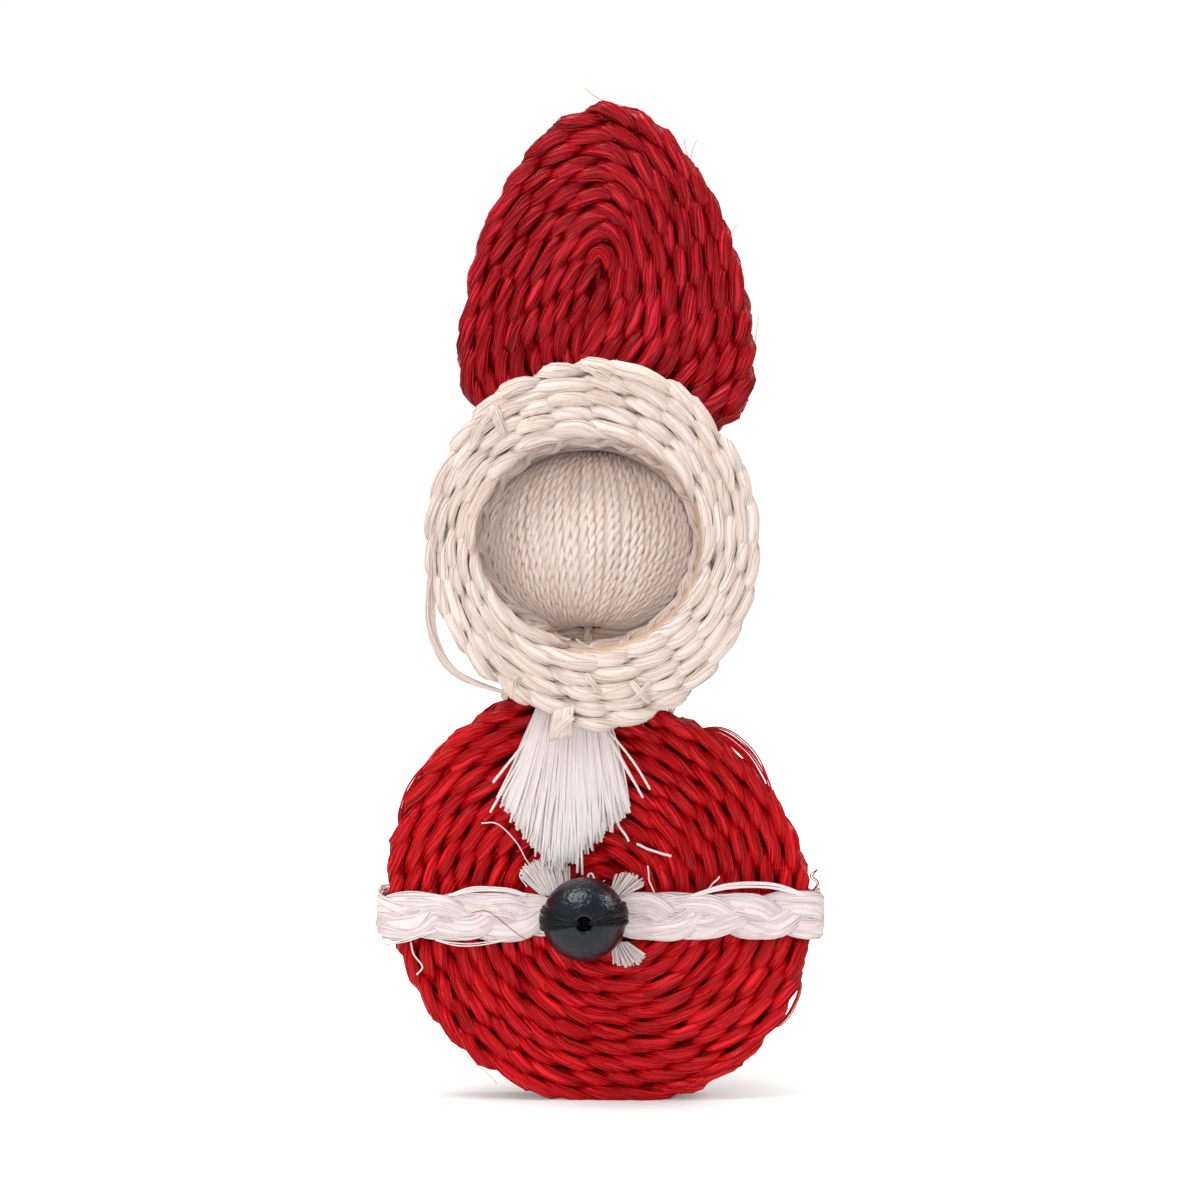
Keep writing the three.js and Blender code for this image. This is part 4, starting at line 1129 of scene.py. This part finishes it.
# %% Loose strands and fibres
def add_loose(name, rows, material):
    """One piece of bundles that taper into the work at both ends. A row says what the depth is
    measured from, how far behind that the bundle lies in millimetres, how many fibres it has, their
    radius and the bundle's width in millimetres, the seed, and its points [x, z] in millimetres."""
    shapes = []
    for start, behind, count, radius, width, seed, points in rows:
        path = [[x * MM, start + behind * MM, z * MM] for x, z in points]
        shapes.append(bundle(path, width * MM, count, radius * MM, seed, 30, taper=0.9))
    add_piece(name, join(shapes), material)


pads_front = pads_y - STRIP_DEPTH / 2
ring_front = box("head_coil")[0][1]
belt_front = belt_low[1]

red_loops = [
    (pads_y, -2, 10, 0.13, 1.3, 170,
     [(11.0, 52.6), (16.6, 53.1), (20.4, 50.7), (22.8, 47.6), (24.2, 44.0), (22.8, 39.8)]),
    (pads_y, -1, 2, 0.1, 0.3, 171,
     [(11.4, 52.8), (17.4, 53.7), (21.5, 51.0), (23.8, 47.4), (24.8, 43.2), (22.8, 39.8)]),
    (pads_y, -2, 5, 0.12, 0.8, 172,
     [(-18.4, 48.6), (-22.9, 49.4), (-25.8, 47.2), (-27.8, 43.9), (-28.6, 39.8), (-27.0, 35.4)]),
    (pads_y, -3, 2, 0.1, 0.3, 173,
     [(-18.8, 48.2), (-24.3, 48.5), (-27.2, 45.4), (-28.9, 41.0), (-27.4, 35.8)]),
    (pads_y, -2.5, 4, 0.1, 0.5, 174, [(26.2, 20.6), (28.9, 17.2), (28.1, 13.6), (25.8, 10.8), (22.0, 10.6)]),
    (pads_front, -0.6, 1, 0.07, 0.1, 176, [(10.9, 46.3), (14.6, 48.4), (17.8, 49.2)]),
    (belt_front, -0.1, 1, 0.06, 0.1, 177, [(-18.4, 27.6), (-15.9, 27.7), (-12.0, 24.6), (-8.6, 22.4)]),
    (pads_front, 0, 2, 0.09, 0.3, 178, [(30.6, 30.4), (31.4, 31.6), (30.5, 32.6), (31.3, 33.6)]),
    (pads_front, -0.2, 7, 0.1, 1.4, 179, [(-1.4, 120.6), (-0.6, 122.2), (0.6, 121.9), (1.2, 120.0)]),
]
cream_loops = [
    (ring_front, 3.2, 11, 0.11, 1.1, 180,
     [(-21.0, 84.5), (-23.4, 78.4), (-24.0, 72.0), (-23.3, 67.0), (-20.2, 62.4), (-12.6, 59.4)]),
    (ring_front, 2, 4, 0.09, 0.5, 181,
     [(-21.4, 82.0), (-24.2, 75.0), (-24.3, 69.0), (-21.8, 64.0), (-17.4, 61.0), (-12.4, 59.8)]),
    (ring_front, -0.1, 2, 0.12, 0.3, 182, [(-12.6, 59.2), (-12.0, 61.6), (-11.6, 62.4)]),
    (ring_front, 5.5, 2, 0.13, 0.4, 183, [(-3.4, 67.2), (-1.6, 65.9), (1.4, 65.7), (3.6, 66.4)]),
    (ring_front, 0.2, 6, 0.11, 0.9, 184, [(-18.4, 94.2), (-17.0, 97.6), (-14.9, 100.4)]),
]
white_fibres = [
    (belt_front, 0.7, 3, 0.13, 0.5, 190, [(-21.6, 30.0), (-18.0, 30.9), (-13.6, 30.8), (-10.4, 30.0)]),
    (belt_front, 0.7, 4, 0.13, 0.7, 191, [(13.0, 30.0), (18.4, 31.3), (24.6, 31.4), (29.8, 30.0)]),
    (belt_front, 0.7, 2, 0.12, 0.3, 192, [(-23.6, 23.6), (-20.4, 22.9), (-17.0, 23.0), (-13.4, 23.7)]),
    (belt_front, 0, 2, 0.1, 0.3, 193, [(-31.0, 22.8), (-27.6, 23.7), (-23.4, 25.0)]),
    (pads_front, -0.5, 1, 0.12, 0.1, 194, [(-27.2, 23.2), (-26.9, 21.4), (-25.6, 19.6), (-26.4, 18.4)]),
    (pads_front, -1.2, 1, 0.12, 0.1, 195,
     [(-17.0, 40.4), (-14.6, 40.2), (-12.0, 37.6), (-10.3, 34.6), (-8.4, 33.6), (-5.6, 32.6)]),
    (pads_front, -1.2, 1, 0.1, 0.1, 196, [(-10.4, 34.2), (-11.6, 32.8), (-10.4, 31.2)]),
    (pads_front, -0.7, 1, 0.19, 0.1, 197, [(2.5, 40.4), (3.4, 38.9), (4.2, 37.7)]),
    (pads_front, -0.6, 1, 0.19, 0.1, 198, [(5.3, 37.3), (7.6, 36.3), (10.3, 35.5)]),
    (pads_front, -0.7, 1, 0.13, 0.1, 199, [(6.9, 34.2), (7.1, 32.0), (7.9, 30.2)]),
    (pads_front, -1.2, 1, 0.12, 0.1, 200, [(17.2, 32.7), (16.0, 31.4), (14.9, 29.6)]),
    (pads_front, -1.4, 2, 0.16, 0.9, 201, [(-1.4, 33.2), (-0.9, 31.4)]),
]
add_loose("red_loose_loops", red_loops, RED)
add_loose("cream_loose_strands", cream_loops, CREAM)
add_loose("white_loose_fibres", white_fibres, WHITE)

# %% [markdown]
# Very fine hairs stand off everywhere and catch the light at the edges. There are too many to place,
# so they start at random places on a plait and bend away from it as the square of the way. A second,
# shorter set grows on the last turn alone, where it roughens the outline.

# %% Hairs
def hairs(line, out, from_line, count, length, radius, seed, sideways):
    """Fine fibres: each leaves a random place of a plait along its direction and bends away by a
    random share of its length times the square of the way, outwards or inwards and to the front."""
    rng = np.random.default_rng(seed)
    at = rng.integers(8, len(line) - 8, count)
    along = unit(np.gradient(line, axis=0))[at] * rng.choice([-1.0, 1.0], (count, 1))
    away = out[at] * rng.normal(0, sideways, (count, 1)) + FRONT * rng.uniform(0.02, 0.16, (count, 1))
    step = np.linspace(0, 1, 12)[None, :, None]
    reach = length * rng.uniform(0.4, 1.4, (count, 1, 1))
    curl = 0.05 * reach * np.sin(step * rng.uniform(3, 7, (count, 1, 1))) * out[at][:, None]
    start = line[at] + FRONT * from_line + out[at] * rng.uniform(-0.8, 0.8, (count, 1)) * MM
    paths = start[:, None] + along[:, None] * reach * step + away[:, None] * reach * step**2 + curl
    size = radius * (1 - 0.5 * step[..., 0])
    return sweep(paths, out[at][:, None], size, size, 4)


def last_turn(line, out, coil, turns):
    """The part of a coil's line and outward directions that lies on its last turn."""
    kept = coil["share"] > 1 - 0.9 / turns
    return line[kept], out[kept]


half = STRIP_DEPTH / 2
body_rim = last_turn(body_line, body_out, BODY, BODY_TURNS)
hat_rim = last_turn(hat_line, hat_out, HAT, HAT_TURNS)
ring_rim = last_turn(ring_line, ring_out, RING, RING_TURNS)
red_hairs = [
    hairs(body_line, body_out, half - 0.1 * MM, 90, 7 * MM, 0.055 * MM, 210, 0.15),
    hairs(hat_line, hat_out, half - 0.1 * MM, 60, 7 * MM, 0.055 * MM, 211, 0.15),
    hairs(*body_rim, 0.5 * half, 14, 3 * MM, 0.045 * MM, 212, 0.4),
    hairs(*hat_rim, 0.5 * half, 14, 3 * MM, 0.045 * MM, 213, 0.4),
]
cream_hairs = [
    hairs(ring_line, ring_out, half, 60, 6 * MM, 0.05 * MM, 214, 0.2),
    hairs(*ring_rim, 0.4 * half, 22, 3 * MM, 0.04 * MM, 215, 0.5),
]
add_piece("red_hairs", join(red_hairs), RED)
add_piece("cream_hairs", join(cream_hairs), CREAM)

# %% [markdown]
# The core of the ball is left as the CAD made it, because only its dark bore shows between threads.
# It gets a plain wood finish: a slow grain on object coordinates between two browns.

# %% Wood of the core
def core_wood():
    """Turned wood: a noise chooses between a dark and a middle brown."""
    material, tree, shader = principled("core wood", roughness=0.7)
    grain = noise(tree, node(tree, "ShaderNodeTexCoord").outputs["Object"], 260, 4)
    colour = ramp(tree, grain, [(0.35, (0.06, 0.03, 0.016)), (0.65, (0.15, 0.08, 0.045))])
    tree.links.new(colour, shader.inputs["Base Color"])
    return material


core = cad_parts["face_core"]
core.data.materials.clear()
core.data.materials.append(core_wood())
print("faces of the core:", len(core.data.polygons))

# %% [markdown]
# The figure stands on white paper. The paper takes its shadow, and a glow that only the camera sees,
# painted light, lifts the rest to white. The glow is weak at the figure's foot and grows outwards, so
# it paints over the shadow away from the foot and leaves it only where it counts.

# %% White paper
PAPER_HALF = 4.0
GLOW_NEAR, GLOW_FAR = 0.2, 0.75
GLOW_FROM, GLOW_TO = 15 * MM, 65 * MM
GLOW_STRETCH = (1.25, 0.5, 1.0)


def paper():
    """White paper plus a camera-only glow: it runs from near to far with the distance from the
    figure's foot, which counts more to the sides than to the back."""
    material, tree, shader = principled("white paper", 0.9, 0.1)
    shader.inputs["Base Color"].default_value = (0.82, 0.82, 0.82, 1)
    stretch = node(tree, "ShaderNodeMapping")
    stretch.inputs["Scale"].default_value = GLOW_STRETCH
    distance = node(tree, "ShaderNodeVectorMath", operation="LENGTH")
    level = node(tree, "ShaderNodeMapRange")
    level.inputs["From Min"].default_value = GLOW_FROM
    level.inputs["From Max"].default_value = GLOW_TO
    level.inputs["To Min"].default_value = GLOW_NEAR
    level.inputs["To Max"].default_value = GLOW_FAR
    strength = node(tree, "ShaderNodeMath", operation="MULTIPLY")
    glow = node(tree, "ShaderNodeEmission")
    glow.inputs["Color"].default_value = (1, 1, 1, 1)
    both = node(tree, "ShaderNodeAddShader")
    for source, target in (
        (node(tree, "ShaderNodeTexCoord").outputs["Object"], stretch.inputs["Vector"]),
        (stretch.outputs["Vector"], distance.inputs[0]),
        (distance.outputs["Value"], level.inputs["Value"]),
        (level.outputs["Result"], strength.inputs[0]),
        (node(tree, "ShaderNodeLightPath").outputs["Is Camera Ray"], strength.inputs[1]),
        (strength.outputs[0], glow.inputs["Strength"]),
        (shader.outputs["BSDF"], both.inputs[0]),
        (glow.outputs["Emission"], both.inputs[1]),
        (both.outputs[0], tree.nodes["Material Output"].inputs["Surface"]),
    ):
        tree.links.new(source, target)
    return material


floor_corners = [(x * PAPER_HALF, y * PAPER_HALF, 0) for x, y in ((-1, -1), (1, -1), (1, 1), (-1, 1))]
floor_mesh = bpy.data.meshes.new("floor")
floor_mesh.from_pydata(floor_corners, [], [(0, 1, 2, 3)])
floor_mesh.materials.append(paper())
floor = bpy.data.objects.new("floor", floor_mesh)
bpy.context.scene.collection.objects.link(floor)
print("paper of", 2 * PAPER_HALF, "m")

# %% [markdown]
# The room is white to the camera and dimmer as a light. A large soft light near the camera fills the
# front without showing in the gloss; a soft box overhead and a small one at the right make the bead's
# two highlights. A sun lamp would draw hard shadows, and the photo's shadow is soft.

# %% Room and lights
ROOM_LIGHT, ROOM_SEEN = 0.42, 1.0
LIGHT_AIM = Vector((0, 0, 0.07))

world = bpy.data.worlds.new("white room")
bpy.context.scene.world = world
world.use_nodes = True
room = world.node_tree
level = node(room, "ShaderNodeMapRange")
level.inputs["To Min"].default_value = ROOM_LIGHT
level.inputs["To Max"].default_value = ROOM_SEEN
room.links.new(node(room, "ShaderNodeLightPath").outputs["Is Camera Ray"], level.inputs["Value"])
room.links.new(level.outputs["Result"], room.nodes["Background"].inputs["Strength"])
room.nodes["Background"].inputs["Color"].default_value = (1, 1, 1, 1)


def soft_box(name, place, size, watts, in_gloss=True):
    """Square area light aimed at the figure's middle."""
    light = bpy.data.lights.new(name, "AREA")
    light.size = size
    light.energy = watts
    lamp = bpy.data.objects.new(name, light)
    lamp.location = place
    lamp.rotation_euler = (LIGHT_AIM - Vector(place)).to_track_quat("-Z", "Y").to_euler()
    lamp.visible_glossy = in_gloss
    bpy.context.scene.collection.objects.link(lamp)


soft_box("front fill", (-0.2, -1.0, 0.35), 0.8, 5.5, in_gloss=False)
soft_box("overhead box", (-0.22, -0.14, 0.8), 0.5, 5.5)
soft_box("right box", (0.6, 0.1, 0.5), 0.2, 1.4)
print("lights:", len(bpy.data.lights))

# %% [markdown]
# The camera looks at the figure from the front and a little from above, as the photo does. Its lens
# follows from the scale: so many millimetres to a pixel at the figure, in a picture 1200 pixels wide.

# %% Camera
SCALE = 0.1436 * MM
PICTURE_WIDTH = 1200
SENSOR = 36
DISTANCE = 0.75
ELEVATION = math.radians(3.5)
aim = Vector((0.04 * MM, pads_y - 4 * MM, 72.4 * MM))
camera_data = bpy.data.cameras.new("camera")
camera_data.sensor_width = SENSOR
camera_data.lens = SENSOR * DISTANCE / (PICTURE_WIDTH * SCALE)
camera = bpy.data.objects.new("camera", camera_data)
camera.location = aim + DISTANCE * Vector((0, -math.cos(ELEVATION), math.sin(ELEVATION)))
camera.rotation_euler = (aim - camera.location).to_track_quat("-Z", "Y").to_euler()
bpy.context.scene.collection.objects.link(camera)
bpy.context.scene.camera = camera
bpy.context.scene.view_settings.view_transform = "Standard"
print(f"lens: {camera_data.lens:.0f} mm")
